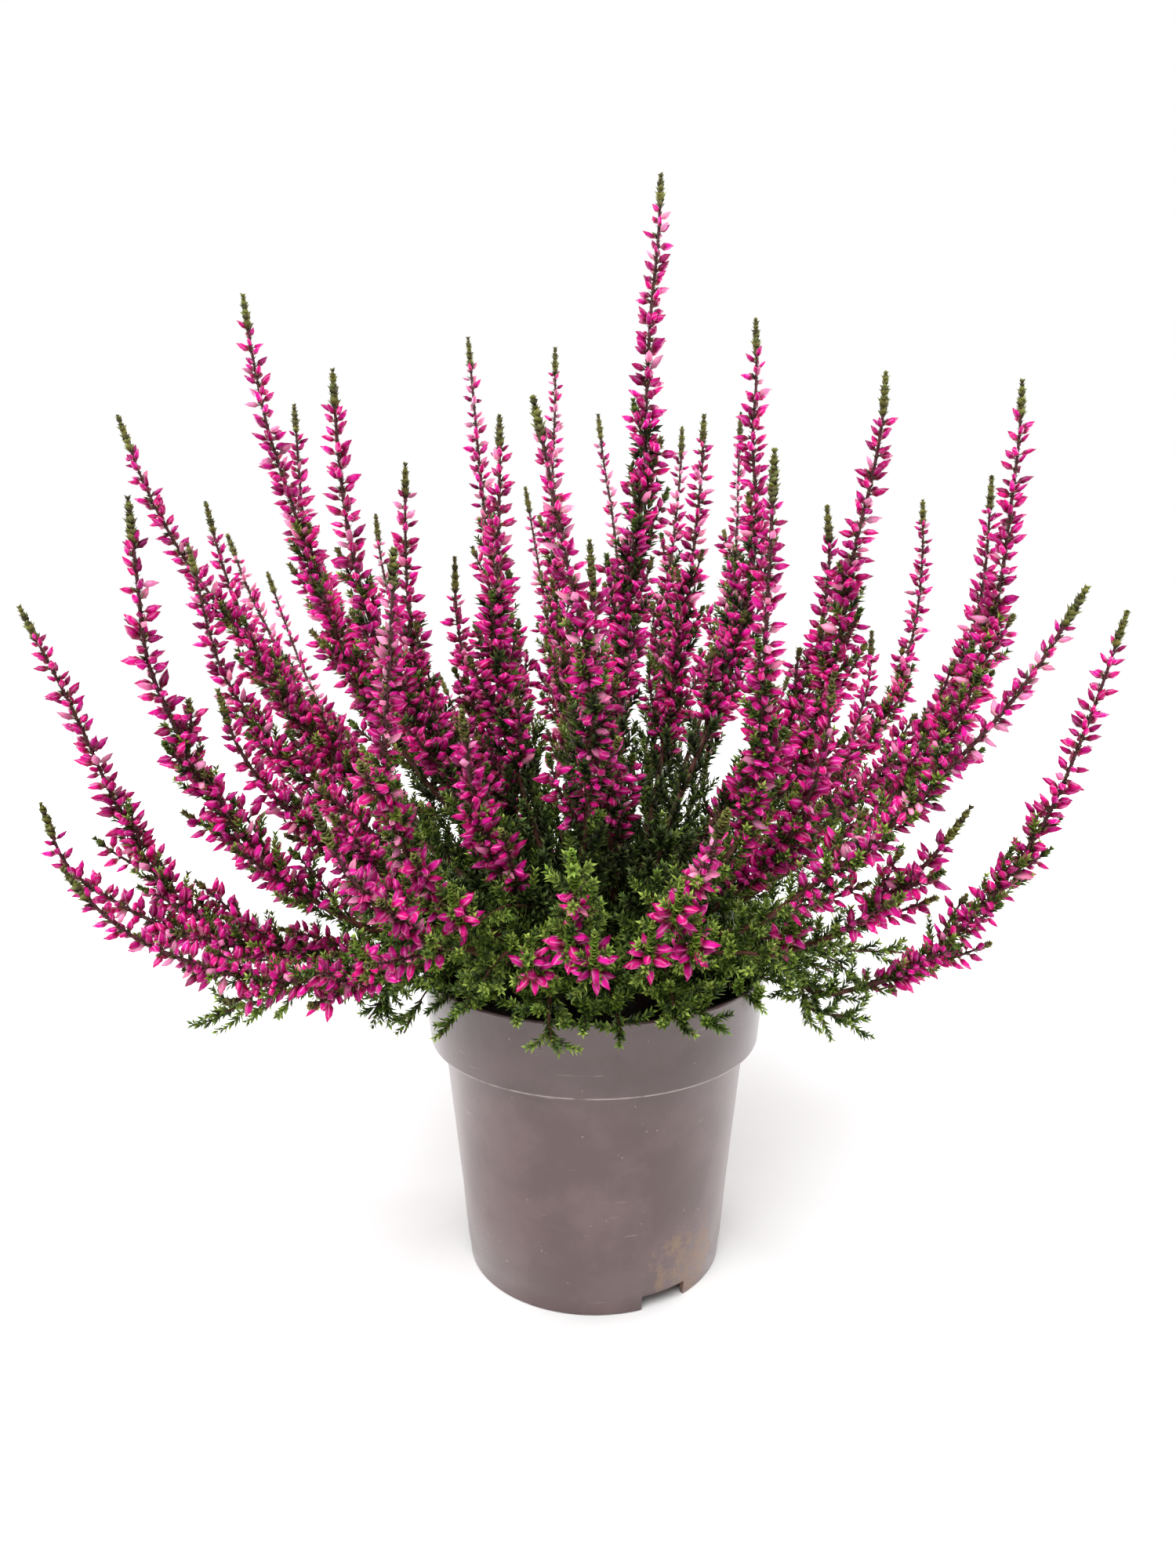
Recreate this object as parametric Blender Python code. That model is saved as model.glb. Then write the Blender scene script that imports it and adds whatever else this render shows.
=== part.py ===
"""A potted heather: a moulded pot, its potting soil, woody leafy branches and their flower spikes.

The pot is turned about +Z and stands on z = 0, with its origin at the centre of its underside.
Every stem is a studded tube: rings of three points run along its route, each turned a little on the
last, and the panels between two rings are drawn out into points, as leafy shoots on a green stem and
as flower buds on a spike. The stems of one branch are fused with its woody base, which stands in a
hole in the soil. A spike meets the end of its green stem face to face.
"""

import math
from dataclasses import dataclass

import bmesh
import bpy
import numpy as np
from mathutils import Matrix, Vector

# Pot
POT_HEIGHT = 0.0998
BASE_RADIUS = 0.0415
NECK_RADIUS = 0.04865
COLLAR_BOTTOM = 0.0760
COLLAR_BOTTOM_RADIUS = 0.05295
RIM_RADIUS = 0.0550
WALL = 0.0012
LIP_CHAMFER = 0.0005
FLOOR_RISE = 0.0060
FLOOR_THICKNESS = 0.0014
FLOOR_TOP = FLOOR_RISE + FLOOR_THICKNESS
FOOT_WIDTH = 0.0016
PAD_RADIUS = 0.0158
PAD_DRAFT = 0.0012
POT_SIDES = 36
NOTCH_TURNS = (-59.0, 61.0, 181.0)
NOTCH_WIDTH = 0.0156
NOTCH_HEIGHT = 0.0050
NOTCH_REACH = 0.0080
DRAIN_COUNT = 6
DRAIN_SIDES = 8
DRAIN_RADIUS = 0.0035
DRAIN_CIRCLE = 0.0280
DRAIN_LENGTH = 0.0060

# Potting soil
SOIL_TOP = 0.0880
SOIL_GAP = 0.0003
SOIL_SIDE_GAP = 0.0006
SOIL_SIDES = 18
SOIL_RINGS = 5
SOIL_LUMP = 0.0008
SOIL_LUMPS_PER_METRE = 290.0
HOLE_DEPTH = 0.0170
HOLE_SPARE = 0.0004

# Stems
STEM_SIDES = 3
SPIKE_SEED = 100
GREEN_SEED = 620
RING_TURN = math.radians(40.0)
ROUTE_SAMPLES = 30
BASE_SIDES = 5
BASE_STEM_RADIUS = 0.0021
FORK_HEIGHT = 0.1010
FORK_KNOB_RADIUS = 0.0030
GREEN_RADIUS = 0.0014
GREEN_START_RADIUS = 0.0017
GREEN_PITCH = 0.0160
BARE_LENGTH = 0.0150
BARE_SHARE = 0.40
SHOOT_REACH = 0.0088
SHOOT_RISE = 0.0150
FIRST_SHOOTS = 0.55
SHOOT_GROWTH = 0.15
LAST_SHOOTS = 0.70
SEAT_BERTH = 0.0012
SEAT_GAP = 0.0003

# Flower spikes
SPIKE_RADIUS = 0.0015
SPIKE_TIP_RADIUS = 0.0008
SPIKE_PITCH = 0.0072
BUD_REACH_LOW = 0.0084
BUD_REACH_HIGH = 0.0056
BUD_RISE = 0.0056
TIP_LENGTH = 0.0150
TIP_BANDS = 2
TIP_REACH = 0.0024
TURN_SPREAD = 0.20
SIZE_RANGE = (0.88, 1.08)
RISE_RANGE = (0.88, 1.00)
BLOOM_SHARE = 0.62
NO_BLOOM = 0.0

# Sight lines: where the photograph was taken from, and how a pixel of it becomes a direction
EYE = Vector((0.0, -0.351, 0.224))
EYE_TILT = math.radians(10.79)
FOCAL_PIXELS = 1447.7
AXIS_COLUMN = 758.0
CENTRE_ROW = 1000.0

# Keeping the stems clear of each other and of the pot
LEAN_POWER = 1.6
CURVE_STEPS = 24
BEND_ROUNDS = 70
BEND_GAP = 0.0009
BEND_STEP = 0.6
BEND_ACROSS = 0.25
SMOOTHING_PASSES = 3
FIXED_SAMPLES = 3
FREE_AFTER = 4.0
GIRTH_AT_FORK = 0.0022
GIRTH_WHEN_BARE = 0.0042
FULL_GIRTH_FROM = 0.0450
FULL_GIRTH = 0.0084
RIM_OVERRUN = 0.0055
STEEPEST_FALL = 2.2
STEM_LIFT = 0.0055
RIM_BERTH = 0.0065
RIM_LIFT = 0.0016
SOIL_BERTH = 0.0040
MOST_LIFT = 0.0020
BEND_BERTH = 0.75


@dataclass(frozen=True)
class Branch:
    """One branch from the soil: the turn, in degrees, and the radius of the hole that it stands in."""

    name: str
    turn: float
    radius: float


@dataclass(frozen=True)
class Stem:
    """One stem: its branch, how far back its tip is, and where it is seen, tip first, in pixels."""

    name: str
    branch: str
    depth: float
    sights: tuple
    bloom: float = BLOOM_SHARE


LEFT = Branch("branch_left", 184.0, 0.021)
LEFT_BACK = Branch("branch_left_back", 150.0, 0.020)
BACK_LEFT = Branch("branch_back_left", 115.0, 0.021)
BACK = Branch("branch_back", 90.0, 0.014)
BACK_RIGHT = Branch("branch_back_right", 55.0, 0.021)
RIGHT = Branch("branch_right", -4.0, 0.021)
FRONT_RIGHT = Branch("branch_front_right", -42.0, 0.020)
FRONT_LEFT = Branch("branch_front_left", -112.0, 0.019)
CENTRE_LEFT = Branch("branch_centre_left", 200.0, 0.007)
CENTRE_RIGHT = Branch("branch_centre_right", -20.0, 0.008)
BRANCHES = (
    LEFT, LEFT_BACK, BACK_LEFT, BACK, BACK_RIGHT, RIGHT, FRONT_RIGHT, FRONT_LEFT, CENTRE_LEFT, CENTRE_RIGHT,
)

SPIKES_SEEN = (
    (LEFT, -0.012, ((25, 775), (100, 920), (150, 1030), (210, 1130), (300, 1190))),
    (LEFT, -0.040, ((52, 1025), (90, 1110), (150, 1152), (230, 1190))),
    (LEFT, -0.075, ((80, 1108), (110, 1145), (170, 1195), (250, 1230))),
    (LEFT_BACK, 0.030, ((150, 530), (185, 620), (240, 720), (290, 800), (340, 880))),
    (LEFT, -0.065, ((163, 635), (175, 740), (190, 850), (225, 930), (270, 1020), (330, 1080))),
    (LEFT_BACK, 0.075, ((262, 640), (275, 690), (290, 740), (330, 830))),
    (LEFT_BACK, 0.115, ((290, 682), (320, 760), (350, 820), (370, 870)), 0.50),
    (CENTRE_LEFT, 0.020, ((310, 378), (325, 470), (345, 560), (375, 650), (400, 740))),
    (BACK_LEFT, 0.080, ((375, 518), (380, 580), (385, 650))),
    (CENTRE_LEFT, -0.015, ((424, 472), (430, 560), (440, 650), (460, 750))),
    (LEFT, 0.025, ((239, 697), (262, 770), (300, 860))),
    (CENTRE_LEFT, 0.025, ((517, 593), (517, 680), (520, 760), (530, 850))),
    (FRONT_LEFT, -0.110, ((502, 700), (500, 780), (495, 870), (490, 950), (500, 1040), (530, 1110))),
    (BACK_LEFT, 0.100, ((597, 432), (605, 520), (612, 600))),
    (CENTRE_LEFT, 0.000, ((637, 530), (637, 620), (635, 700), (630, 800))),
    (BACK, 0.120, ((708, 445), (708, 520), (705, 590))),
    (FRONT_LEFT, -0.085, ((680, 508), (700, 600), (715, 680), (735, 770), (755, 880), (750, 1000))),
    (BACK, 0.150, ((670, 622), (680, 680), (690, 740))),
    (BACK, 0.140, ((763, 530), (770, 590), (780, 650))),
    (CENTRE_RIGHT, 0.015, ((843, 225), (840, 300), (830, 400), (825, 500), (822, 600), (800, 790))),
    (CENTRE_RIGHT, -0.040, ((752, 690), (756, 750), (762, 830))),
    (BACK_RIGHT, 0.060, ((898, 530), (895, 600), (885, 700))),
    (BACK_RIGHT, 0.120, ((870, 545), (868, 600), (862, 660)), 0.50),
    (CENTRE_RIGHT, 0.030, ((964, 407), (965, 480), (960, 560), (965, 650))),
    (BACK_RIGHT, 0.145, ((945, 527), (942, 600), (940, 680)), 0.50),
    (FRONT_RIGHT, -0.080, ((988, 575), (985, 650), (980, 750), (975, 850), (970, 950), (955, 1050))),
    (CENTRE_RIGHT, 0.005, ((1055, 645), (1058, 710), (1050, 790))),
    (RIGHT, -0.025, ((1130, 475), (1125, 540), (1110, 620), (1090, 700), (1075, 790), (1050, 900))),
    (BACK_RIGHT, 0.090, ((1177, 638), (1177, 700), (1170, 780), (1155, 850))),
    (RIGHT, 0.045, ((1265, 607), (1262, 660), (1255, 740), (1235, 830))),
    (RIGHT, -0.002, ((1304, 487), (1300, 560), (1290, 640), (1280, 720), (1260, 820), (1225, 910))),
    (FRONT_RIGHT, -0.090, ((1386, 750), (1350, 810), (1310, 870), (1260, 930), (1200, 990), (1130, 1060))),
    (RIGHT, -0.020, ((1438, 780), (1385, 930), (1320, 1070), (1220, 1190), (1150, 1245), (1080, 1268))),
    (RIGHT, -0.065, ((1238, 1030), (1205, 1075), (1140, 1140), (1070, 1190)), 0.35),
    (FRONT_RIGHT, -0.050, ((1062, 868), (1055, 940), (1030, 1020))),
    (BACK_LEFT, 0.050, ((580, 712), (582, 780), (595, 860))),
    (FRONT_LEFT, -0.100, ((729, 1085), (735, 1150), (740, 1200)), 0.40),
    (FRONT_LEFT, -0.055, ((589, 908), (600, 990), (625, 1080)), 0.50),
    (BACK_LEFT, 0.125, ((479, 656), (487, 720), (505, 790))),
    (LEFT_BACK, 0.150, ((341, 730), (362, 790), (385, 850))),
    (LEFT, -0.040, ((278, 881), (300, 945), (340, 1010), (390, 1070))),
    (FRONT_LEFT, -0.105, ((400, 1030), (440, 1110), (500, 1170)), 0.45),
    (FRONT_RIGHT, -0.100, ((928, 1035), (900, 1105), (860, 1170)), 0.45),
    (BACK_RIGHT, 0.070, ((1112, 805), (1108, 870), (1090, 940))),
    (BACK_LEFT, 0.165, ((560, 860), (590, 930), (620, 990))),
    (BACK, 0.165, ((800, 850), (795, 920), (785, 990))),
    (BACK_RIGHT, 0.160, ((1010, 850), (985, 920), (950, 990))),
    (LEFT_BACK, 0.125, ((330, 960), (390, 1020), (450, 1070))),
)

SHOOTS_SEEN = (
    (FRONT_LEFT, -0.066, ((705, 1340), (700, 1290), (712, 1240))),
    (FRONT_LEFT, -0.062, ((610, 1250), (640, 1220))),
    (FRONT_RIGHT, -0.062, ((862, 1290), (850, 1240))),
    (FRONT_RIGHT, -0.050, ((1000, 1220), (940, 1215))),
    (RIGHT, -0.012, ((1100, 1300), (1040, 1290), (975, 1265))),
    (RIGHT, 0.040, ((1060, 1150), (980, 1170))),
    (LEFT, -0.012, ((482, 1322), (540, 1285), (600, 1250))),
    (LEFT, -0.035, ((265, 1300), (340, 1265), (430, 1240))),
    (LEFT_BACK, 0.045, ((430, 1130), (520, 1150))),
    (BACK_LEFT, 0.085, ((620, 1120), (670, 1150))),
    (BACK, 0.090, ((740, 1110), (745, 1150))),
    (BACK_RIGHT, 0.085, ((880, 1110), (840, 1150))),
    (CENTRE_LEFT, -0.030, ((640, 1060), (690, 1140))),
    (CENTRE_RIGHT, -0.030, ((860, 1060), (820, 1140))),
)


def named_stems(kind, seen, *bloom):
    """The stems of one kind, numbered in the order in which they are listed."""
    return tuple(
        Stem(f"{kind}_{number:02d}", entry[0].name, *entry[1:], *bloom)
        for number, entry in enumerate(seen, start=1)
    )


FLOWER_STEMS = named_stems("flower_spike", SPIKES_SEEN)
LEAFY_STEMS = named_stems("leafy_shoot", SHOOTS_SEEN, NO_BLOOM)
STEMS = FLOWER_STEMS + LEAFY_STEMS


def sighted(column, row, depth):
    """The point at this depth that is seen at this pixel of the photograph."""
    ahead = Vector((0.0, math.cos(EYE_TILT), -math.sin(EYE_TILT)))
    above = Vector((0.0, math.sin(EYE_TILT), math.cos(EYE_TILT)))
    across = (column - AXIS_COLUMN) / FOCAL_PIXELS
    up = (CENTRE_ROW - row) / FOCAL_PIXELS
    direction = ahead + Vector((across, 0.0, 0.0)) + above * up
    return EYE + direction * ((depth - EYE.y) / direction.y)


def distances(line):
    """How far along a line each of its points is."""
    steps = np.linalg.norm(np.diff(line, axis=0), axis=1)
    return np.concatenate([[0.0], np.cumsum(steps)])


def length_of(line):
    """The length of a line."""
    return float(distances(line)[-1])


def resampled(line, count):
    """The same line with this many points, evenly spaced along it."""
    along = distances(line)
    wanted = np.linspace(0.0, along[-1], count)
    return np.stack([np.interp(wanted, along, line[:, axis]) for axis in range(3)], axis=1)


def point_at(line, distance):
    """The point this far along a line."""
    along = distances(line)
    return Vector([float(np.interp(distance, along, line[:, axis])) for axis in range(3)])


def smooth_line(points, count):
    """Even samples on a smooth curve through the points."""
    points = np.array(points, dtype=float)
    knots = distances(points)
    slopes = np.gradient(points, knots, axis=0)
    fine = []
    for start in range(len(points) - 1):
        span = knots[start + 1] - knots[start]
        for t in np.linspace(0.0, 1.0, CURVE_STEPS, endpoint=False):
            fine.append(
                (2 * t**3 - 3 * t**2 + 1) * points[start]
                + (t**3 - 2 * t**2 + t) * span * slopes[start]
                + (3 * t**2 - 2 * t**3) * points[start + 1]
                + (t**3 - t**2) * span * slopes[start + 1]
            )
    fine.append(points[-1])
    return resampled(np.array(fine), count)


def fork_of(branch):
    """Where a branch's stems part, above its hole in the soil."""
    turn = math.radians(branch.turn)
    return Vector((branch.radius * math.cos(turn), branch.radius * math.sin(turn), FORK_HEIGHT))


def first_route(stem, fork):
    """A stem's route from its fork through the points where it is seen, leaning out early."""
    rising = tuple(reversed(stem.sights))
    reach = [fork] + [sighted(column, row, 0.0) for column, row in rising]
    steps = np.cumsum([(b - a).length for a, b in zip(reach, reach[1:])])
    points = [fork]
    for (column, row), step in zip(rising, steps):
        share = 1.0 - (1.0 - step / steps[-1]) ** LEAN_POWER
        points.append(sighted(column, row, fork.y + (stem.depth - fork.y) * share))
    return smooth_line(points, ROUTE_SAMPLES)


def girths_of(stem, line):
    """How far a stem's shoots or buds reach from each sample of its route."""
    along = np.linspace(0.0, length_of(line), ROUTE_SAMPLES)
    whole = along[-1]
    seat = whole * (1.0 - stem.bloom)
    green = np.interp(
        along, [0.0, BARE_LENGTH, FULL_GIRTH_FROM], [GIRTH_AT_FORK, GIRTH_WHEN_BARE, FULL_GIRTH]
    )
    bloom = np.interp(along, [seat, whole - TIP_LENGTH, whole], [BUD_REACH_LOW, BUD_REACH_HIGH, TIP_REACH])
    return np.where(along < seat, green, bloom)


def lifted_clear(lines):
    """The lines with what is over the pot lifted off its rim and soil."""
    radius = np.hypot(lines[..., 0], lines[..., 1])
    past_rim = np.maximum(radius - RIM_RADIUS - RIM_OVERRUN, 0.0)
    lowest = POT_HEIGHT + STEM_LIFT - past_rim * STEEPEST_FALL
    rooted = np.arange(lines.shape[1]) < FIXED_SAMPLES
    lines[..., 2] = np.where(rooted, lines[..., 2], np.maximum(lines[..., 2], lowest))
    return lines


def evened(moves):
    """The moves of each line's samples, evened out along the line."""
    for _ in range(SMOOTHING_PASSES):
        before = np.concatenate([moves[:, :1], moves[:, :-1]], axis=1)
        after = np.concatenate([moves[:, 1:], moves[:, -1:]], axis=1)
        moves = 0.5 * moves + 0.25 * (before + after)
    return moves


def bent_clear(lines, girths, families):
    """The routes bent away from each other, chiefly along the line of sight, until they pass clear."""
    count, samples, _ = lines.shape
    ramp = np.clip((np.arange(samples) - FIXED_SAMPLES) / FREE_AFTER, 0.0, 1.0)[None, :, None]
    reach = girths.reshape(-1)
    need = reach[:, None] + reach[None, :] + BEND_GAP
    owner = np.repeat(np.arange(count), samples)
    family = families.reshape(-1)
    need[(owner[:, None] == owner[None, :]) | (family[:, None] == family[None, :])] = 0.0
    every = np.arange(len(reach))
    for _ in range(BEND_ROUNDS):
        points = lines.reshape(-1, 3)
        squared = np.zeros(need.shape)
        for axis in range(3):
            squared += (points[:, None, axis] - points[None, :, axis]) ** 2
        lack = need - np.sqrt(squared)
        worst = lack.argmax(axis=1)
        amount = np.clip(lack[every, worst], 0.0, None)[:, None]
        away = points - points[worst]
        sight = points - np.array(EYE)
        sight /= np.sqrt((sight**2).sum(axis=1))[:, None]
        along = (away * sight).sum(axis=1)[:, None] * sight
        push = along + (away - along) * BEND_ACROSS
        push /= np.sqrt((push**2).sum(axis=1))[:, None] + 1e-9
        moves = evened((push * amount * BEND_STEP).reshape(lines.shape) * ramp)
        lines = lifted_clear(lines + moves * ramp)
    return np.round(lines, 5)


def stem_routes():
    """Every stem's route by name, as even samples from its fork to its tip."""
    forks = {branch.name: fork_of(branch) for branch in BRANCHES}
    places = {branch.name: place for place, branch in enumerate(BRANCHES)}
    lines = np.array([first_route(stem, forks[stem.branch]) for stem in STEMS])
    girths = np.array([girths_of(stem, line) for stem, line in zip(STEMS, lines)])
    shares = np.linspace(0.0, 1.0, ROUTE_SAMPLES)
    families = np.array([
        np.where(shares < 1.0 - stem.bloom, places[stem.branch], len(BRANCHES) + number)
        for number, stem in enumerate(STEMS)
    ])
    lines = bent_clear(lifted_clear(lines), girths, families)
    return {stem.name: resampled(line, ROUTE_SAMPLES) for stem, line in zip(STEMS, lines)}


def ring_frames(centres):
    """A direction along and two across for each ring, carried on without twisting."""
    frames = []
    side = (centres[1] - centres[0]).orthogonal()
    last = len(centres) - 1
    for index in range(len(centres)):
        along = (centres[min(index + 1, last)] - centres[max(index - 1, 0)]).normalized()
        side = (side - along * side.dot(along)).normalized()
        frames.append((along, side, along.cross(side)))
    return frames


def off_the_pot(point):
    """The point lifted off the soil or the rim, if it would reach into them."""
    radius = math.hypot(point.x, point.y)
    if radius > RIM_RADIUS + RIM_BERTH:
        return point
    lowest = SOIL_TOP + SOIL_BERTH if radius < RIM_RADIUS - RIM_BERTH else POT_HEIGHT + RIM_LIFT
    return Vector((point.x, point.y, max(point.z, lowest)))


def stud_point(centres, number, frame, turn, reach, rise):
    """The end of a bud or shoot, or None where the pot or a bend of its own stem leaves it no room."""
    along, side, cross = frame
    end = centres[number] + (side * math.cos(turn) + cross * math.sin(turn)) * reach + along * rise
    lifted = off_the_pot(end)
    middles = [(a + b) / 2 for a, b in zip(centres, centres[1:])]
    nearest = min((lifted - place).length for place in centres + middles)
    if (lifted - end).length > MOST_LIFT or nearest < reach * BEND_BERTH:
        return None
    return lifted


def studded_tube(centres, radii, reaches, rises, draw, pointed):
    """A closed tube of three-pointed rings whose panels stand out as shoots or buds.

    A panel with no reach stays flat. The tube ends in a flat face, or in a point.
    """
    mesh = bmesh.new()
    frames = ring_frames(centres)
    rings = []
    for number, (centre, radius) in enumerate(zip(centres, radii)):
        _, side, cross = frames[number]
        turns = [number * RING_TURN + corner * math.tau / STEM_SIDES for corner in range(STEM_SIDES)]
        rings.append([
            mesh.verts.new(centre + (side * math.cos(turn) + cross * math.sin(turn)) * radius)
            for turn in turns
        ])
    mesh.faces.new(reversed(rings[0]))
    for number, (low, high) in enumerate(zip(rings, rings[1:])):
        for corner in range(STEM_SIDES):
            following = (corner + 1) % STEM_SIDES
            panel = (low[corner], low[following], high[following], high[corner])
            turn = (number + 0.5) * RING_TURN + (corner + 0.5) * math.tau / STEM_SIDES
            turn += draw.uniform(-TURN_SPREAD, TURN_SPREAD)
            reach = reaches[number] * draw.uniform(*SIZE_RANGE)
            rise = rises[number] * draw.uniform(*RISE_RANGE)
            end = stud_point(centres, number, frames[number], turn, reach, rise) if reach else None
            if end is None:
                mesh.faces.new((panel[0], panel[1], panel[2]))
                mesh.faces.new((panel[0], panel[2], panel[3]))
                continue
            tip = mesh.verts.new(end)
            for start in range(4):
                mesh.faces.new((panel[start], panel[(start + 1) % 4], tip))
    if pointed:
        top = mesh.verts.new(centres[-1] + frames[-1][0] * TIP_REACH)
        for corner in range(STEM_SIDES):
            mesh.faces.new((rings[-1][corner], rings[-1][(corner + 1) % STEM_SIDES], top))
    else:
        mesh.faces.new(rings[-1])
    return mesh


def mesh_data(name, mesh):
    """A mesh data block from a bmesh, which it frees."""
    data = bpy.data.meshes.new(name)
    mesh.to_mesh(data)
    mesh.free()
    return data


def solid(name, mesh, material):
    """An object for one piece, in its material and in the scene."""
    data = mesh_data(name, mesh)
    data.materials.append(material)
    thing = bpy.data.objects.new(name, data)
    bpy.context.scene.collection.objects.link(thing)
    return thing


def flower_spike(stem, line, number, material):
    """One flower spike: its core, its whorls of buds and the leafy tip above them."""
    draw = np.random.default_rng(SPIKE_SEED + number)
    whole = length_of(line)
    seat = whole * (1.0 - stem.bloom) + SEAT_GAP
    tip_start = whole - TIP_LENGTH
    tip_pitch = TIP_LENGTH / (TIP_BANDS + 1)
    bands = max(3, round((tip_start - seat) / SPIKE_PITCH))
    places = list(np.linspace(seat, tip_start, bands + 1))
    places += [tip_start + tip_pitch * (step + 1) for step in range(TIP_BANDS)]
    shares = [(place - seat) / (whole - seat) for place in places]
    radii = [SPIKE_RADIUS + (SPIKE_TIP_RADIUS - SPIKE_RADIUS) * share for share in shares]
    reaches = [BUD_REACH_LOW + (BUD_REACH_HIGH - BUD_REACH_LOW) * share for share in shares[:bands]]
    reaches += [TIP_REACH] * TIP_BANDS
    rises = [BUD_RISE] * bands + [tip_pitch] * TIP_BANDS
    centres = [point_at(line, place) for place in places]
    return solid(stem.name, studded_tube(centres, radii, reaches, rises, draw, True), material)


def green_stem(stem, line, number, material):
    """One green stem from its fork to its seat or tip, bare at first and then set with shoots."""
    draw = np.random.default_rng(GREEN_SEED + number)
    end = length_of(line) * (1.0 - stem.bloom)
    bare = min(BARE_LENGTH, end * BARE_SHARE)
    bands = max(2, round((end - bare) / GREEN_PITCH))
    pitch = (end - bare) / bands
    places = [0.0] + list(np.linspace(bare, end, bands + 1))
    reaches = [0.0]
    rises = [0.0]
    for band in range(bands):
        opening = min(1.0, FIRST_SHOOTS + SHOOT_GROWTH * band)
        closing = LAST_SHOOTS if band == bands - 1 else 1.0
        reaches.append(SHOOT_REACH * opening * closing)
        rises.append(min(SHOOT_RISE * opening, (bands - band) * pitch - SEAT_BERTH))
    radii = [GREEN_START_RADIUS] + [GREEN_RADIUS] * (bands + 1)
    centres = [point_at(line, place) for place in places]
    tube = studded_tube(centres, radii, reaches, rises, draw, stem.bloom == NO_BLOOM)
    return solid("green_" + stem.name, tube, material)


def woody_base(branch, material):
    """The stub of a branch, from the foot of its hole to the knob where its stems part."""
    fork = fork_of(branch)
    foot = SOIL_TOP - HOLE_DEPTH + SOIL_GAP
    mesh = bmesh.new()
    bmesh.ops.create_cone(
        mesh, cap_ends=True, segments=BASE_SIDES, radius1=BASE_STEM_RADIUS, radius2=FORK_KNOB_RADIUS,
        depth=FORK_HEIGHT - foot, matrix=Matrix.Translation((fork.x, fork.y, (FORK_HEIGHT + foot) / 2)),
    )
    top = max(mesh.faces, key=lambda face: face.calc_center_median().z)
    bmesh.ops.poke(mesh, faces=[top])["verts"][0].co.z += FORK_KNOB_RADIUS
    return solid(branch.name, mesh, material)


def drop_inner_shells(data):
    """Keeps a mesh's largest shell, which fills any hollow that fusing has sealed."""
    mesh = bmesh.new()
    mesh.from_mesh(data)
    left = set(mesh.verts)
    shells = []
    while left:
        shell = []
        edge = [left.pop()]
        while edge:
            point = edge.pop()
            shell.append(point)
            near = {line.other_vert(point) for line in point.link_edges} & left
            left -= near
            edge.extend(near)
        shells.append(shell)
    shells.sort(key=len)
    for shell in shells[:-1]:
        bmesh.ops.delete(mesh, geom=shell, context="VERTS")
    mesh.to_mesh(data)
    mesh.free()


def fused(base, others):
    """The base with all the others joined into it, and the others gone."""
    pieces = bpy.data.collections.new(base.name + "_pieces")
    bpy.context.scene.collection.children.link(pieces)
    for other in others:
        bpy.context.scene.collection.objects.unlink(other)
        pieces.objects.link(other)
    union = base.modifiers.new("fuse", "BOOLEAN")
    union.operation = "UNION"
    union.operand_type = "COLLECTION"
    union.collection = pieces
    union.solver = "MANIFOLD"
    bpy.context.view_layer.objects.active = base
    bpy.ops.object.modifier_apply(modifier=union.name)
    for other in others:
        bpy.data.objects.remove(other)
    bpy.data.collections.remove(pieces)
    drop_inner_shells(base.data)
    return base


def turned(name, profile, sides, material):
    """A solid turned about Z from a profile that starts and ends on the axis, bottom first."""
    mesh = bmesh.new()
    points = [mesh.verts.new((radius, 0.0, height)) for radius, height in profile]
    edges = [mesh.edges.new(pair) for pair in zip(points, points[1:])]
    bmesh.ops.spin(
        mesh, geom=points + edges, cent=(0, 0, 0), axis=(0, 0, 1), dvec=(0, 0, 0),
        angle=math.tau, steps=sides, use_merge=True,
    )
    bmesh.ops.remove_doubles(mesh, verts=mesh.verts, dist=0.00001)
    bmesh.ops.recalc_face_normals(mesh, faces=mesh.faces)
    return solid(name, mesh, material)


def cut_away(thing, cutters):
    """Takes the cutters, by name, away from the object with one modifier that stays on it."""
    group = bpy.data.collections.new(thing.name + "_cutters")
    bpy.context.scene.collection.children.link(group)
    for name, mesh in cutters.items():
        tool = bpy.data.objects.new(name, mesh_data(name, mesh))
        tool.hide_render = True
        tool.display_type = "WIRE"
        group.objects.link(tool)
    cut = thing.modifiers.new("cut", "BOOLEAN")
    cut.operation = "DIFFERENCE"
    cut.operand_type = "COLLECTION"
    cut.collection = group
    cut.solver = "EXACT"


def upright_prism(x, y, middle, radius, length, sides):
    """A closed upright prism, for cutting a round hole."""
    mesh = bmesh.new()
    bmesh.ops.create_cone(
        mesh, cap_ends=True, segments=sides, radius1=radius, radius2=radius, depth=length,
        matrix=Matrix.Translation((x, y, middle)),
    )
    return mesh


def notch_block(turn):
    """A block that cuts one notch through the foot ring."""
    mesh = bmesh.new()
    place = Matrix.Rotation(math.radians(turn), 4, "Z") @ Matrix.Translation((BASE_RADIUS, 0.0, 0.0))
    size = Matrix.Diagonal((NOTCH_REACH, NOTCH_WIDTH, NOTCH_HEIGHT * 2, 1.0))
    bmesh.ops.create_cube(mesh, size=1.0, matrix=place @ size)
    return mesh


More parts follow.
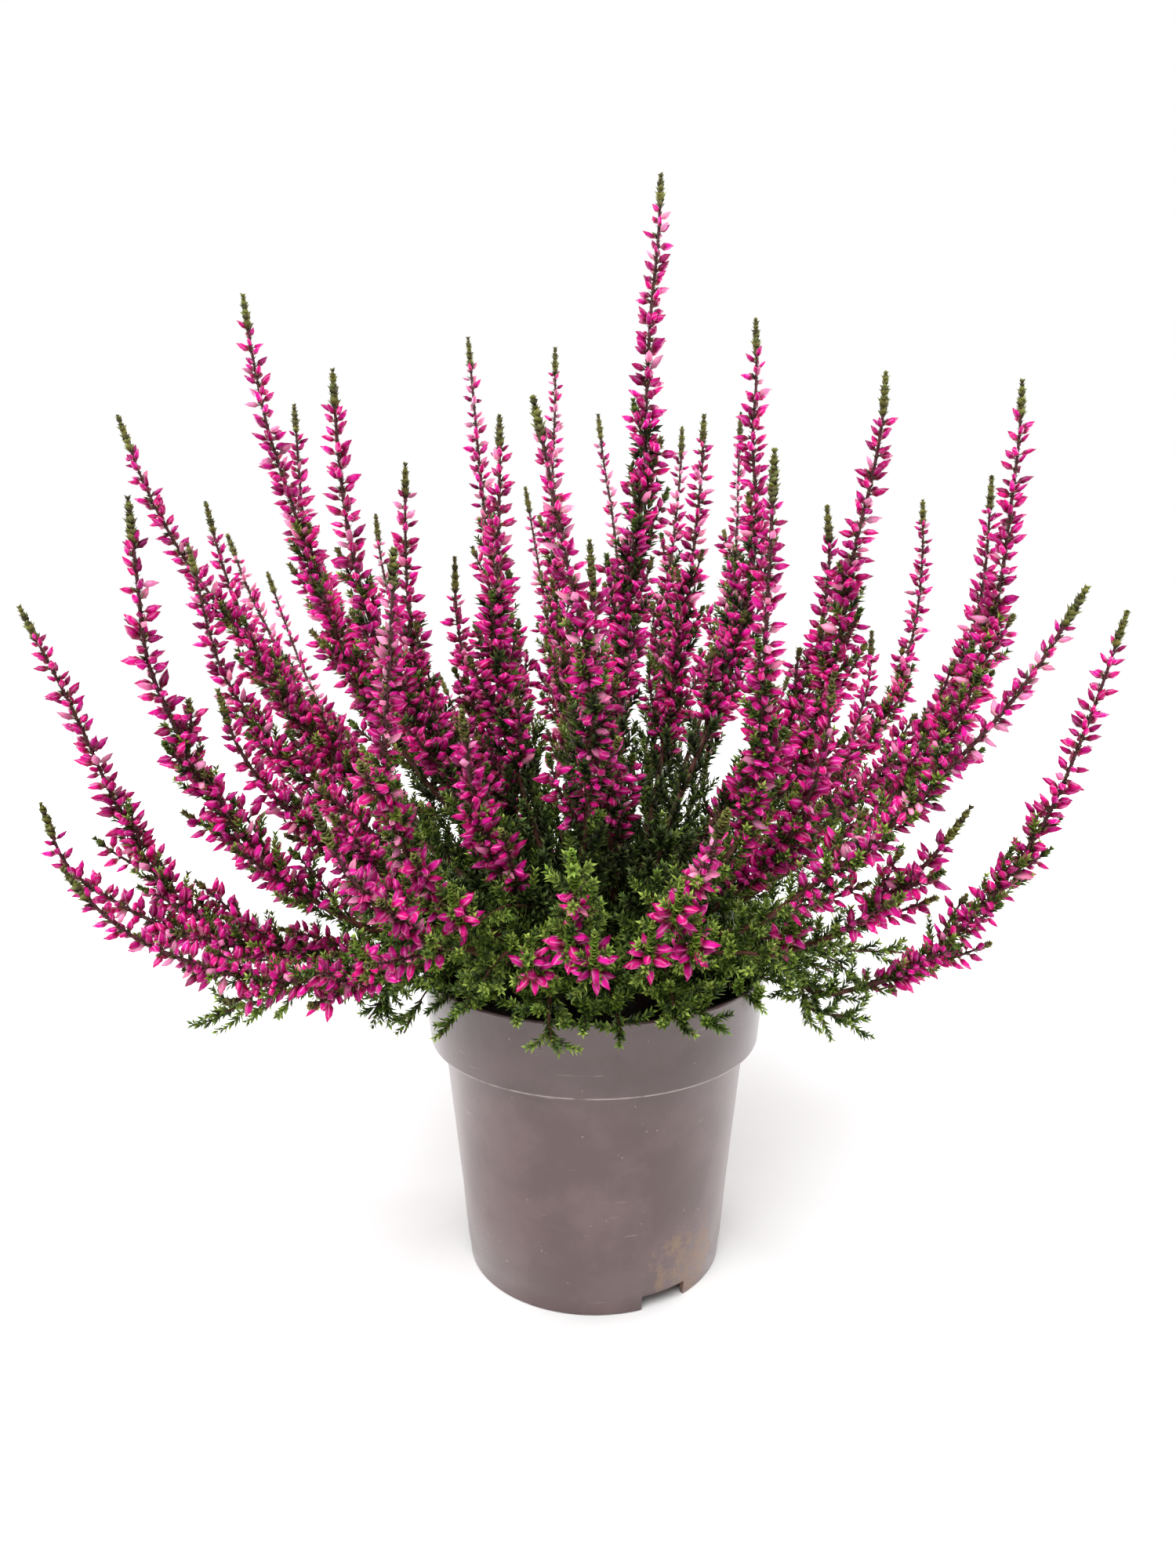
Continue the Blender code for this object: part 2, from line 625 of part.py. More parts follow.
def pot(material):
    """The moulded pot: a tapered wall, a stepped collar, a raised floor and a notched foot."""
    profile = (
        (0.0, 0.0),
        (PAD_RADIUS, 0.0),
        (PAD_RADIUS + PAD_DRAFT, FLOOR_RISE),
        (BASE_RADIUS - FOOT_WIDTH, FLOOR_RISE),
        (BASE_RADIUS - FOOT_WIDTH, 0.0),
        (BASE_RADIUS, 0.0),
        (NECK_RADIUS, COLLAR_BOTTOM),
        (COLLAR_BOTTOM_RADIUS - LIP_CHAMFER, COLLAR_BOTTOM),
        (COLLAR_BOTTOM_RADIUS, COLLAR_BOTTOM + LIP_CHAMFER),
        (RIM_RADIUS, POT_HEIGHT - LIP_CHAMFER),
        (RIM_RADIUS - LIP_CHAMFER, POT_HEIGHT),
        (RIM_RADIUS - WALL, POT_HEIGHT),
        (COLLAR_BOTTOM_RADIUS - WALL, COLLAR_BOTTOM + WALL),
        (NECK_RADIUS - WALL, COLLAR_BOTTOM + WALL),
        (BASE_RADIUS - WALL + 0.0004, FLOOR_TOP),
        (PAD_RADIUS, FLOOR_TOP),
        (PAD_RADIUS - PAD_DRAFT, FLOOR_THICKNESS),
        (0.0, FLOOR_THICKNESS),
    )
    body = turned("pot", profile, POT_SIDES, material)
    cutters = {f"notch_{place}": notch_block(turn) for place, turn in enumerate(NOTCH_TURNS)}
    for step in range(DRAIN_COUNT):
        turn = math.tau * (step + 0.5) / DRAIN_COUNT
        cutters[f"drain_{step}"] = upright_prism(
            DRAIN_CIRCLE * math.cos(turn), DRAIN_CIRCLE * math.sin(turn), FLOOR_RISE,
            DRAIN_RADIUS, DRAIN_LENGTH, DRAIN_SIDES,
        )
    cut_away(body, cutters)


def lump_height(x, y):
    """How far the soil stands above or below its mean height here."""
    wave = SOIL_LUMPS_PER_METRE
    return SOIL_LUMP * (
        math.sin(x * wave + 1.3) * math.cos(y * wave) + 0.6 * math.sin((x * 2.1 - y * 1.8) * wave)
    )


def potting_soil(material):
    """The root ball: it fills the pot to just under the rim, with a lumpy top and a hole for each branch."""
    step_top = COLLAR_BOTTOM + WALL + SOIL_GAP
    pad_top = FLOOR_THICKNESS + SOIL_GAP
    edge = COLLAR_BOTTOM_RADIUS - WALL
    profile = [
        (0.0, pad_top),
        (PAD_RADIUS - PAD_DRAFT - SOIL_SIDE_GAP, pad_top),
        (PAD_RADIUS - SOIL_SIDE_GAP, FLOOR_TOP + SOIL_GAP),
        (BASE_RADIUS - WALL - SOIL_SIDE_GAP, FLOOR_TOP + SOIL_GAP),
        (NECK_RADIUS - WALL - SOIL_SIDE_GAP, step_top),
        (edge - SOIL_SIDE_GAP, step_top),
    ]
    profile += [(edge * (1.0 - ring / SOIL_RINGS), SOIL_TOP) for ring in range(SOIL_RINGS)]
    profile.append((0.0, SOIL_TOP))
    soil = turned("potting_soil", profile, SOIL_SIDES, material)
    for point in soil.data.vertices:
        if point.co.z > SOIL_TOP - SOIL_LUMP:
            point.co.z += lump_height(point.co.x, point.co.y)
    holes = {}
    for branch in BRANCHES:
        fork = fork_of(branch)
        holes[f"hole_{branch.name}"] = upright_prism(
            fork.x, fork.y, SOIL_TOP, FORK_KNOB_RADIUS + HOLE_SPARE, HOLE_DEPTH * 2, BASE_SIDES
        )
    cut_away(soil, holes)


def finish(name, colour, roughness):
    """A plain material in one colour."""
    material = bpy.data.materials.new(name)
    material.use_nodes = True
    shader = material.node_tree.nodes["Principled BSDF"]
    shader.inputs["Base Color"].default_value = (*colour, 1.0)
    shader.inputs["Roughness"].default_value = roughness
    return material


def main():
    """Builds the pot, the soil, the branches and the flower spikes."""
    for thing in list(bpy.data.objects):
        bpy.data.objects.remove(thing)
    pot(finish("pot_plastic", (0.24, 0.18, 0.175), 0.42))
    potting_soil(finish("peat", (0.035, 0.022, 0.015), 0.95))
    leaf = finish("heather_leaf", (0.045, 0.115, 0.022), 0.60)
    bud = finish("heather_bud", (0.67, 0.013, 0.22), 0.50)
    routes = stem_routes()
    for branch in BRANCHES:
        own = [
            green_stem(stem, routes[stem.name], number, leaf)
            for number, stem in enumerate(STEMS)
            if stem.branch == branch.name
        ]
        fused(woody_base(branch, leaf), own)
    for number, stem in enumerate(FLOWER_STEMS):
        flower_spike(stem, routes[stem.name], number, bud)


main()
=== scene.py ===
"""The looks of a potted heather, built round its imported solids.

Everything is in metres in the frame of the solids: the pot stands on z = 0 about the Z axis. Each stem
follows the same route as its solid, and is dressed with bark, leafy shoots, buds and a leafy tip. What
repeats, such as a bud or a whorl of leaves, is modelled once and copied along the routes.
"""

import logging
import math
from collections.abc import Callable, Iterable, Iterator, Sequence
from dataclasses import dataclass, field
from enum import Enum

import bmesh
import bpy
import numpy as np
from mathutils import Matrix, Vector

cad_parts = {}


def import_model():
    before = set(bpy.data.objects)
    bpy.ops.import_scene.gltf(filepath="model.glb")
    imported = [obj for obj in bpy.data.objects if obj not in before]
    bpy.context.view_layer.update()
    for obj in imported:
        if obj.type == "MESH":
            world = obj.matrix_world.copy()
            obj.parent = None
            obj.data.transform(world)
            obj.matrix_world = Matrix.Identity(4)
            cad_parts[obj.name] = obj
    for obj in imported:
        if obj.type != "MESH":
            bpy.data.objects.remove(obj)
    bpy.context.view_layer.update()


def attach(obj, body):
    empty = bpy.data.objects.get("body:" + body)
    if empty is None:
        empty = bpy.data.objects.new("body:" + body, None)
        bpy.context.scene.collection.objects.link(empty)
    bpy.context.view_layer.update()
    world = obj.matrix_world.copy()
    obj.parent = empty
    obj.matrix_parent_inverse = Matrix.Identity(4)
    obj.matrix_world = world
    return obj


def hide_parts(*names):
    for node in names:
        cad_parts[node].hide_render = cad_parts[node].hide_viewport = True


LOG = logging.getLogger("heather")

Array = np.ndarray
Thing = bpy.types.Object
Material = bpy.types.Material
Pair = tuple[float, float]
Row = tuple[float, ...]
Point = tuple[float, float, float]
Colour = tuple[float, float, float]
Stop = tuple[float, Colour]
Cell = tuple[int, int]
Settings = dict[str, object] | None
Values = dict[int | str, object] | None
Frame = tuple[Array, Array, Array, Array]
Step = tuple[float, Frame, float]
Rule = Callable[[Vector], bool]

BODY = "root"
UV_NAME = "OFBake"
AGE_NAME = "age"

ORIGIN = (0.0, 0.0, 0.0)
UP = (0.0, 0.0, 1.0)
STEEP = 0.9
SAME_PLACE = 1e-7
SEAM_WIDTH = 2e-6

# The colour sheet: how many cells it has each way, the margin of a cell, where a shape's sides lie on
# its cell, and where its flat ends lie.
CELLS = 8
CELL_MARGIN = 0.06
SHEET_EDGE = 0.1
SHEET_SPAN = 0.8
CAP_MIDDLE = (0.5, 0.04)
CAP_RADIUS = 0.02
FLAT = 0.95

# Where the chance draws of the branches and the soil start.
FIRST_SEED = 4000
SOIL_SEED = 77


class Slot(Enum):
    """The material slots of the part."""

    POT = "pot_plastic"
    SOIL = "potting_soil"
    LEAF = "heather_leaf"
    BUD = "heather_bud"
    WOOD = "woody_stem"


class Tone(Enum):
    """Rows of a colour sheet: what a copy of a leaf or a bud is coloured as."""

    # The darkest rows: painted shade, for leaves inside the plant.
    SHADE = (0, 1)
    GREEN = (1, 2)
    FRESH = (3, 4)
    OLIVE = (5, 6)
    BROWN = (7, 7)
    DEEP = (0, 2)
    BRIGHT = (2, 5)
    PALE = (6, 7)


class Wire:
    """A shader socket that takes part in sums: each sum adds a Math node."""

    def __init__(self, shader: "Shader", socket: bpy.types.NodeSocket) -> None:
        """Wraps one output socket of a shader's node."""
        self.shader = shader
        self.socket = socket

    def other(self, name: str) -> "Wire":
        """Another output of the same node."""
        return Wire(self.shader, self.socket.node.outputs[name])

    def _sum(self, operation: str, *terms: "Wire | float") -> "Wire":
        """Adds one Math node with these inputs, in order."""
        return self.shader.node("ShaderNodeMath", {"operation": operation}, dict(enumerate(terms)))

    def __add__(self, other: "Wire | float") -> "Wire":
        """This and the other together."""
        return self._sum("ADD", self, other)

    __radd__ = __add__

    def __sub__(self, other: "Wire | float") -> "Wire":
        """This less the other."""
        return self._sum("SUBTRACT", self, other)

    def __rsub__(self, other: "Wire | float") -> "Wire":
        """The other less this."""
        return self._sum("SUBTRACT", other, self)

    def __mul__(self, other: "Wire | float") -> "Wire":
        """This times the other."""
        return self._sum("MULTIPLY", self, other)

    __rmul__ = __mul__

    def __truediv__(self, other: "Wire | float") -> "Wire":
        """This divided by the other."""
        return self._sum("DIVIDE", self, other)

    def __pow__(self, other: "Wire | float") -> "Wire":
        """This to the power of the other."""
        return self._sum("POWER", self, other)

    def wave(self) -> "Wire":
        """The sine of this."""
        return self._sum("SINE", self)

    def size(self) -> "Wire":
        """This without its sign."""
        return self._sum("ABSOLUTE", self)

    def between(self, low: float, high: float) -> "Wire":
        """A smooth step of this: 0 up to the low value, 1 from the high one."""
        limits = {"Value": self, "From Min": low, "From Max": high}
        return self.shader.node("ShaderNodeMapRange", {"interpolation_type": "SMOOTHSTEP"}, limits)


class Shader:
    """A material's node tree, and the one way in which nodes are added to it."""

    def __init__(self, name: str) -> None:
        """Starts a material with its Principled shader."""
        self.material = bpy.data.materials.new(name)
        self.material.use_nodes = True
        self.tree = self.material.node_tree
        self.surface = self.tree.nodes["Principled BSDF"]

    def node(self, kind: str, settings: Settings = None, values: Values = None) -> Wire:
        """Adds a node.

        Args:
            kind: The node's type.
            settings: Its properties, set first. "stops" holds a ramp's stops and whether they hold.
            values: What each input is set to or linked from.

        Returns:
            The node's first output that is in use.
        """
        made = self.tree.nodes.new(kind)
        for key, value in (settings or {}).items():
            if key == "stops":
                self._set_stops(made.color_ramp, *value)
            else:
                setattr(made, key, value)
        for key, value in (values or {}).items():
            if isinstance(value, Wire):
                self.tree.links.new(value.socket, made.inputs[key])
            else:
                made.inputs[key].default_value = value
        return Wire(self, next(socket for socket in made.outputs if socket.enabled))

    @staticmethod
    def _set_stops(ramp: bpy.types.ColorRamp, stops: Sequence[Stop], steps: bool) -> None:
        """Sets a ramp's colours, and whether each holds until the next stop."""
        ramp.interpolation = "CONSTANT" if steps else "LINEAR"
        while len(ramp.elements) < len(stops):
            ramp.elements.new(1.0)
        for element, (place, colour) in zip(ramp.elements, stops):
            element.position = place
            element.color = (*colour, 1.0)

    def ramp(self, factor: Wire, stops: Sequence[Stop], steps: bool = False) -> Wire:
        """A colour picked from stops by a factor from 0 to 1."""
        return self.node("ShaderNodeValToRGB", {"stops": (stops, steps)}, {0: factor})

    def blend(self, factor: Wire, low: Wire | Colour, high: Wire | Colour) -> Wire:
        """Two colours mixed, by how much there is of the second."""
        first, second = (side if isinstance(side, Wire) else (*side, 1.0) for side in (low, high))
        return self.node("ShaderNodeMix", {"data_type": "RGBA"}, {0: factor, 6: first, 7: second})

    def shaded(self, colour: Wire, value: Wire, hue: Wire | float = 0.5) -> Wire:
        """A colour with its brightness multiplied by a value, and its hue turned, where 0.5 leaves it."""
        return self.node("ShaderNodeHueSaturation", None, {"Color": colour, "Value": value, "Hue": hue})

    def place(self) -> Wire:
        """The point of the surface, in metres."""
        return self.node("ShaderNodeTexCoord").other("Object")

    def noise(self, where: Wire, scale: float, detail: float = 3.0, roughness: float = 0.55) -> Wire:
        """Cloudy noise about 0.5: how fine it is, how many layers it has and how strong they are."""
        values = {"Vector": where, "Scale": scale, "Detail": detail, "Roughness": roughness}
        return self.node("ShaderNodeTexNoise", None, values)

    def drawn_noise(self, where: Wire, scales: Point, detail: float = 2.0) -> Wire:
        """Cloudy noise with a fineness of its own along each axis."""
        return self.noise(self.points("MULTIPLY", where, scales), 1.0, detail)

    def points(self, operation: str, *terms: Wire | Point) -> Wire:
        """A sum on points, by one Vector Math node."""
        return self.node("ShaderNodeVectorMath", {"operation": operation}, dict(enumerate(terms)))

    def axes(self, where: Wire) -> tuple[Wire, Wire, Wire]:
        """The three numbers of a point."""
        split = self.node("ShaderNodeSeparateXYZ", None, {0: where})
        return split.other("X"), split.other("Y"), split.other("Z")

    def bump(self, height: Wire, strength: float, distance: float) -> None:
        """Raises the surface by a height from 0 to 1: how strongly, and how far 1 is, in metres."""
        values = {"Height": height, "Strength": strength, "Distance": distance}
        self.put({"Normal": self.node("ShaderNodeBump", None, values)})

    def put(self, values: dict[str, Wire | float | Colour]) -> None:
        """Sets or links inputs of the surface, by their names."""
        for name, value in values.items():
            socket = self.surface.inputs[name]
            if isinstance(value, Wire):
                self.tree.links.new(value.socket, socket)
            else:
                socket.default_value = (*value, 1.0) if isinstance(value, tuple) else value


class Backdrop(Shader):
    """The world's node tree: a sky that lights the plant, seen as a white wall."""

    def __init__(self, name: str, sky: float, wall: float) -> None:
        """Makes the world.

        Args:
            name: Its name.
            sky: How bright the sky is as a light.
            wall: How bright the wall is as the camera sees it.
        """
        self.world = bpy.data.worlds.new(name)
        self.world.use_nodes = True
        self.tree = self.world.node_tree
        self.surface = self.tree.nodes["Background"]
        seen = self.node("ShaderNodeLightPath")
        strength = self.node("ShaderNodeMapRange", None, {"Value": seen, "To Min": sky, "To Max": wall})
        self.put({"Color": (1.0, 1.0, 1.0), "Strength": strength})


class ColourSheet(Shader):
    """A material read from a sheet of cells, of which each copy on a piece takes one."""

    def __init__(self, name: str) -> None:
        """Reads the sheet: each cell has its own chance numbers and its own way across and along."""
        super().__init__(name)
        sheet = self.node("ShaderNodeUVMap", {"uv_map": UV_NAME})
        self.grid = self.points("MULTIPLY", sheet, (float(CELLS),) * 3)
        corner = self.points("FLOOR", self.grid)
        self.across, self.along, _ = self.axes(self.points("FRACTION", self.grid))
        self.row = (self.axes(corner)[1] + 0.5) / CELLS
        self.chance = self.node("ShaderNodeTexWhiteNoise", {"noise_dimensions": "3D"}, {"Vector": corner})
        self.second_chance = self.axes(self.chance.other("Color"))[1]


@dataclass(frozen=True)
class BudFinish:
    """The magenta buds: a dark stalk, a pale foot and four sepals with lighter edges and veins, which are
    partly pale margins and partly painted highlight, and painted shade low on the sepals.
    """

    name: str = Slot.BUD.value
    stalk: Colour = (0.040, 0.008, 0.009)
    foot: Colour = (0.560, 0.230, 0.240)
    pink: Colour = (0.800, 0.007, 0.285)
    magenta: Colour = (0.680, 0.002, 0.200)
    crimson: Colour = (0.260, 0.001, 0.045)
    # Pale sepal margins and veins, brightened so that they also serve as painted highlight.
    edge: Colour = (0.940, 0.340, 0.620)
    pale: Colour = (0.800, 0.420, 0.540)
    sepals: int = 4
    petal_from: Pair = (0.28, 0.38)
    hollow: Pair = (0.34, 0.58)
    hollow_shade: float = 0.72
    pale_margin_and_highlight: float = 0.85
    vein_scales: Point = (16.0, 2.5, 1.0)
    vein_steps: Pair = (0.58, 0.74)
    vein_light: float = 0.50
    pale_rows: Pair = (0.70, 0.86)
    pale_share: float = 0.55
    hues: Pair = (0.487, 0.022)
    gloss: float = 0.13
    relief: float = 0.0003

    def material(self) -> Material:
        """Builds the bud's material."""
        sheet = ColourSheet(self.name)
        stops = ((0.0, self.stalk), (0.24, self.stalk), (0.32, self.foot), (0.42, self.crimson),
                 (0.60, self.pink), (0.84, self.magenta), (1.0, self.crimson))
        body = sheet.ramp(sheet.along, stops)
        veins = sheet.drawn_noise(sheet.grid, self.vein_scales)
        petal = sheet.along.between(*self.petal_from)
        # Lighter sepal edges and veins: partly pale margins, partly painted highlight.
        ridge = ((sheet.across - SHEET_EDGE) * (self.sepals * math.pi / SHEET_SPAN)).wave().size()
        edges = (1.0 - ridge) ** 3.0 * self.pale_margin_and_highlight
        streaks_and_highlights = (edges + veins.between(*self.vein_steps) * self.vein_light) * petal
        body = sheet.blend(streaks_and_highlights, body, self.edge)
        shade = 1.0 - sheet.along.between(*self.hollow)
        body = sheet.blend(shade * petal * self.hollow_shade, body, self.crimson)
        body = sheet.blend(sheet.row.between(*self.pale_rows) * petal * self.pale_share, body, self.pale)
        least_hue, hue_spread = self.hues
        hue = sheet.second_chance * hue_spread + least_hue
        body = sheet.shaded(body, sheet.chance * 0.80 + sheet.row * 0.50 + 0.28, hue)
        sheet.put({"Base Color": body, "Roughness": 0.48 - veins * 0.18, "Specular IOR Level": self.gloss})
        sheet.bump(ridge * 0.6 + veins * 0.4, 0.35, self.relief)
        return sheet.material


@dataclass(frozen=True)
class LeafFinish:
    """The scale leaves: deep green on the old shoots, fresh, olive and brown ones on the young, and a
    near-black row of painted shade for those inside the plant. Each leaf is darker at its foot, as painted
    shade, and lighter at its tip, partly as painted highlight.
    """

    name: str = Slot.LEAF.value
    # Painted shade: the near-black row, for leaves inside the plant.
    shade: Colour = (0.006, 0.014, 0.002)
    deep: Colour = (0.020, 0.048, 0.005)
    green: Colour = (0.052, 0.108, 0.009)
    fresh: Colour = (0.120, 0.205, 0.017)
    light: Colour = (0.225, 0.310, 0.046)
    olive: Colour = (0.150, 0.132, 0.030)
    bronze: Colour = (0.075, 0.052, 0.026)
    brown: Colour = (0.042, 0.013, 0.015)
    # Pale leaf tips, partly a painted highlight.
    pale_tip_and_highlight: Colour = (0.260, 0.350, 0.090)
    tip_from: Pair = (0.30, 0.90)
    grain_scales: Point = (6.0, 3.0, 1.0)
    grain_steps: Pair = (0.35, 0.70)
    gloss: float = 0.22
    relief: float = 0.0002

    def material(self) -> Material:
        """Builds the leaf's material, with a row of the sheet for each colour."""
        sheet = ColourSheet(self.name)
        rows = (
            self.shade, self.deep, self.green, self.fresh, self.light, self.olive, self.bronze, self.brown
        )
        stops = tuple((place / CELLS, colour) for place, colour in enumerate(rows))
        body = sheet.ramp(sheet.row, stops, steps=True)
        grain = sheet.drawn_noise(sheet.grid, self.grain_scales)
        tip = sheet.along.between(*self.tip_from)
        # Lighter tips: partly the leaves' own paler tips, partly a painted highlight.
        body = sheet.blend(tip * (grain.between(*self.grain_steps) * 0.40 + 0.10), body, self.pale_tip_and_highlight)
        # Darker towards each leaf's foot as painted shade, lighter towards its tip as painted highlight.
        body = sheet.shaded(body, (sheet.chance * 0.80 + 0.58) * (tip * 1.15 + 0.30))
        sheet.put({"Base Color": body, "Roughness": 0.40 + grain * 0.25, "Specular IOR Level": self.gloss})
        sheet.bump(grain, 0.4, self.relief)
        return sheet.material


@dataclass(frozen=True)
class WoodFinish:
    """The bark: grey-brown at the foot, red-brown on the branches, and purple-brown under the buds."""

    name: str = Slot.WOOD.value
    old: Colour = (0.048, 0.022, 0.015)
    red: Colour = (0.085, 0.020, 0.013)
    young: Colour = (0.082, 0.010, 0.022)
    pale: Colour = (0.240, 0.110, 0.070)
    patch_scale: float = 420.0
    patch_steps: Pair = (0.50, 0.68)
    fibre_scales: Point = (900.0, 900.0, 130.0)
    relief: float = 0.0004

    def material(self) -> Material:
        """Builds the bark's material."""
        shader = Shader(self.name)
        where = shader.place()
        age = shader.node("ShaderNodeAttribute", {"attribute_name": AGE_NAME}).other("Fac")
        body = shader.ramp(age, ((0.0, self.old), (0.22, self.red), (0.55, self.red), (0.85, self.young)))
        patches = shader.noise(where, self.patch_scale, 4.0, 0.65)
        fibres = shader.drawn_noise(where, self.fibre_scales, 3.0)
        body = shader.blend(patches.between(*self.patch_steps) * (0.75 - age * 0.60), body, self.pale)
        body = shader.shaded(body, fibres * 0.9 + 0.55)
        shader.put({"Base Color": body, "Roughness": 0.55 + patches * 0.25})
        shader.bump(fibres * 0.6 + patches * 0.4, 0.5, self.relief)
        return shader.material


@dataclass(frozen=True)
class PotFinish:
    """Moulded plastic, warm grey: faint clouds, fine scuffs and specks, and dried soil near one notch, with
    painted shade on the collar and a painted highlight along its lower edge.
    """

    name: str = Slot.POT.value
    body: Colour = (0.077, 0.035, 0.034)
    light: Colour = (0.112, 0.060, 0.060)
    # Pale scuffs, and the painted highlight along the collar's lower edge.
    scuff_and_highlight: Colour = (0.420, 0.340, 0.330)
    dirt: Colour = (0.285, 0.175, 0.105)
    dirt_place: Point = (0.0290, -0.0330, 0.0100)
    dirt_reach: float = 0.027
    cloud_scale: float = 44.0
    cloud_steps: Pair = (0.38, 0.66)
    scratch_scales: Point = (60.0, 60.0, 900.0)
    speck_scale: float = 420.0
    worn_foot: Pair = (0.008, 0.034)
    collar_edge: Pair = (0.0758, 0.0764)
    # Painted shade: how much darker the collar is, for the shade of the foliage over it.
    collar_shade: float = 0.20
    seam_width: float = 0.00045
    grain_scale: float = 1500.0
    plastic_index: float = 1.60
    gloss: float = 0.60
    gloss_blur: float = 0.20
    relief: float = 0.0004

    def material(self) -> Material:
        """Builds the plastic's material."""
        shader = Shader(self.name)
        where = shader.place()
        height = shader.axes(where)[2]
        clouds = shader.noise(where, self.cloud_scale, 5.0, 0.60)
        body = shader.blend(clouds.between(*self.cloud_steps), self.body, self.light)
        # Painted shade: the collar is darker, as it is under the overhanging foliage.
        body = shader.shaded(body, 1.02 - height.between(*self.collar_edge) * self.collar_shade)
        scratches = self.scratches(shader, where)
        specks = self.specks(shader, where, height)
        # A pale line at the collar's lower edge: partly painted highlight, partly the mould's flash line.
        flash_and_highlight_line = self.flash_and_highlight_line(shader, where, height)
        wear_and_edge_highlight = scratches * 0.35 + specks * 0.60 + flash_and_highlight_line * 0.65
        body = shader.blend(wear_and_edge_highlight, body, self.scuff_and_highlight)
        offset = shader.points("DISTANCE", where, self.dirt_place).other("Value")
        near = 1.0 - (offset / self.dirt_reach).between(0.35, 1.0)
        crust = shader.noise(where, 210.0, 5.0, 0.7)
        dirt = (near * 0.46 + crust).between(0.86, 1.04)
        body = shader.blend(dirt * 0.62, body, self.dirt)
        shader.put({
            "Base Color": body, "Roughness": 0.26 + clouds * 0.12 + dirt * 0.4 + scratches * 0.15,
            "IOR": self.plastic_index, "Coat Weight": self.gloss, "Coat Roughness": self.gloss_blur,
        })
        grain = shader.noise(where, self.grain_scale, 2.0)
        shader.bump(grain * 0.35 + clouds * 0.5 + dirt * crust, 0.25, self.relief)
        return shader.material

    def scratches(self, shader: Shader, where: Wire) -> Wire:
        """Fine level scratches, in patches."""
        lines = shader.drawn_noise(where, self.scratch_scales).between(0.66, 0.72)
        return lines * shader.noise(where, 70.0, 2.0).between(0.52, 0.64)

    def specks(self, shader: Shader, where: Wire, height: Wire) -> Wire:
        """Pale specks, more of them near the foot."""
        speck = shader.node("ShaderNodeTexVoronoi", None, {"Vector": where, "Scale": self.speck_scale})
        low = 1.0 - height.between(*self.worn_foot)
        here = (shader.noise(where, 120.0, 2.0) + low * 0.07).between(0.59, 0.66)
        return (1.0 - speck.between(0.06, 0.14)) * here

    def flash_and_highlight_line(self, shader: Shader, where: Wire, height: Wire) -> Wire:
        """A pale line along the lower edge of the collar: painted highlight of the edge, and the mould's
        pale flash line.
        """
        off = (height - self.collar_edge[1]).size() / self.seam_width
        return (1.0 - off.between(0.4, 1.0)) * shader.noise(where, 150.0, 2.0).between(0.30, 0.60)


@dataclass(frozen=True)
class SoilFinish:
    """Damp peat: near black, partly its own colour and partly painted shade under the foliage, with brown
    crumbs and pale fibres.
    """

    name: str = Slot.SOIL.value
    # Near black: damp peat, made darker as painted shade under the foliage.
    dark: Colour = (0.008, 0.006, 0.005)
    brown: Colour = (0.036, 0.021, 0.013)
    fibre: Colour = (0.200, 0.130, 0.075)
    crumb_scale: float = 380.0
    patch_scale: float = 90.0
    fibre_scales: Point = (900.0, 260.0, 500.0)
    relief: float = 0.0012

    def material(self) -> Material:
        """Builds the soil's material."""
        shader = Shader(self.name)
        where = shader.place()
        crumbs = shader.noise(where, self.crumb_scale, 5.0, 0.7)
        patches = shader.noise(where, self.patch_scale)
        body = shader.blend(crumbs.between(0.40, 0.66), self.dark, self.brown)
        threads = shader.drawn_noise(where, self.fibre_scales).between(0.66, 0.74)
        body = shader.shaded(shader.blend(threads * 0.7, body, self.fibre), patches * 0.8 + 0.6)
        shader.put({"Base Color": body, "Roughness": 0.80 + crumbs * 0.15})
        shader.bump(crumbs, 0.8, self.relief)
        return shader.material


@dataclass(frozen=True)
class FloorFinish:
    """A plain pale floor."""

    name: str = "pale_floor"
    body: Colour = (0.91, 0.91, 0.91)

    def material(self) -> Material:
        """Builds the floor's material."""
        shader = Shader(self.name)
        shader.put({"Base Color": self.body, "Roughness": 0.75, "Specular IOR Level": 0.2})
        return shader.material


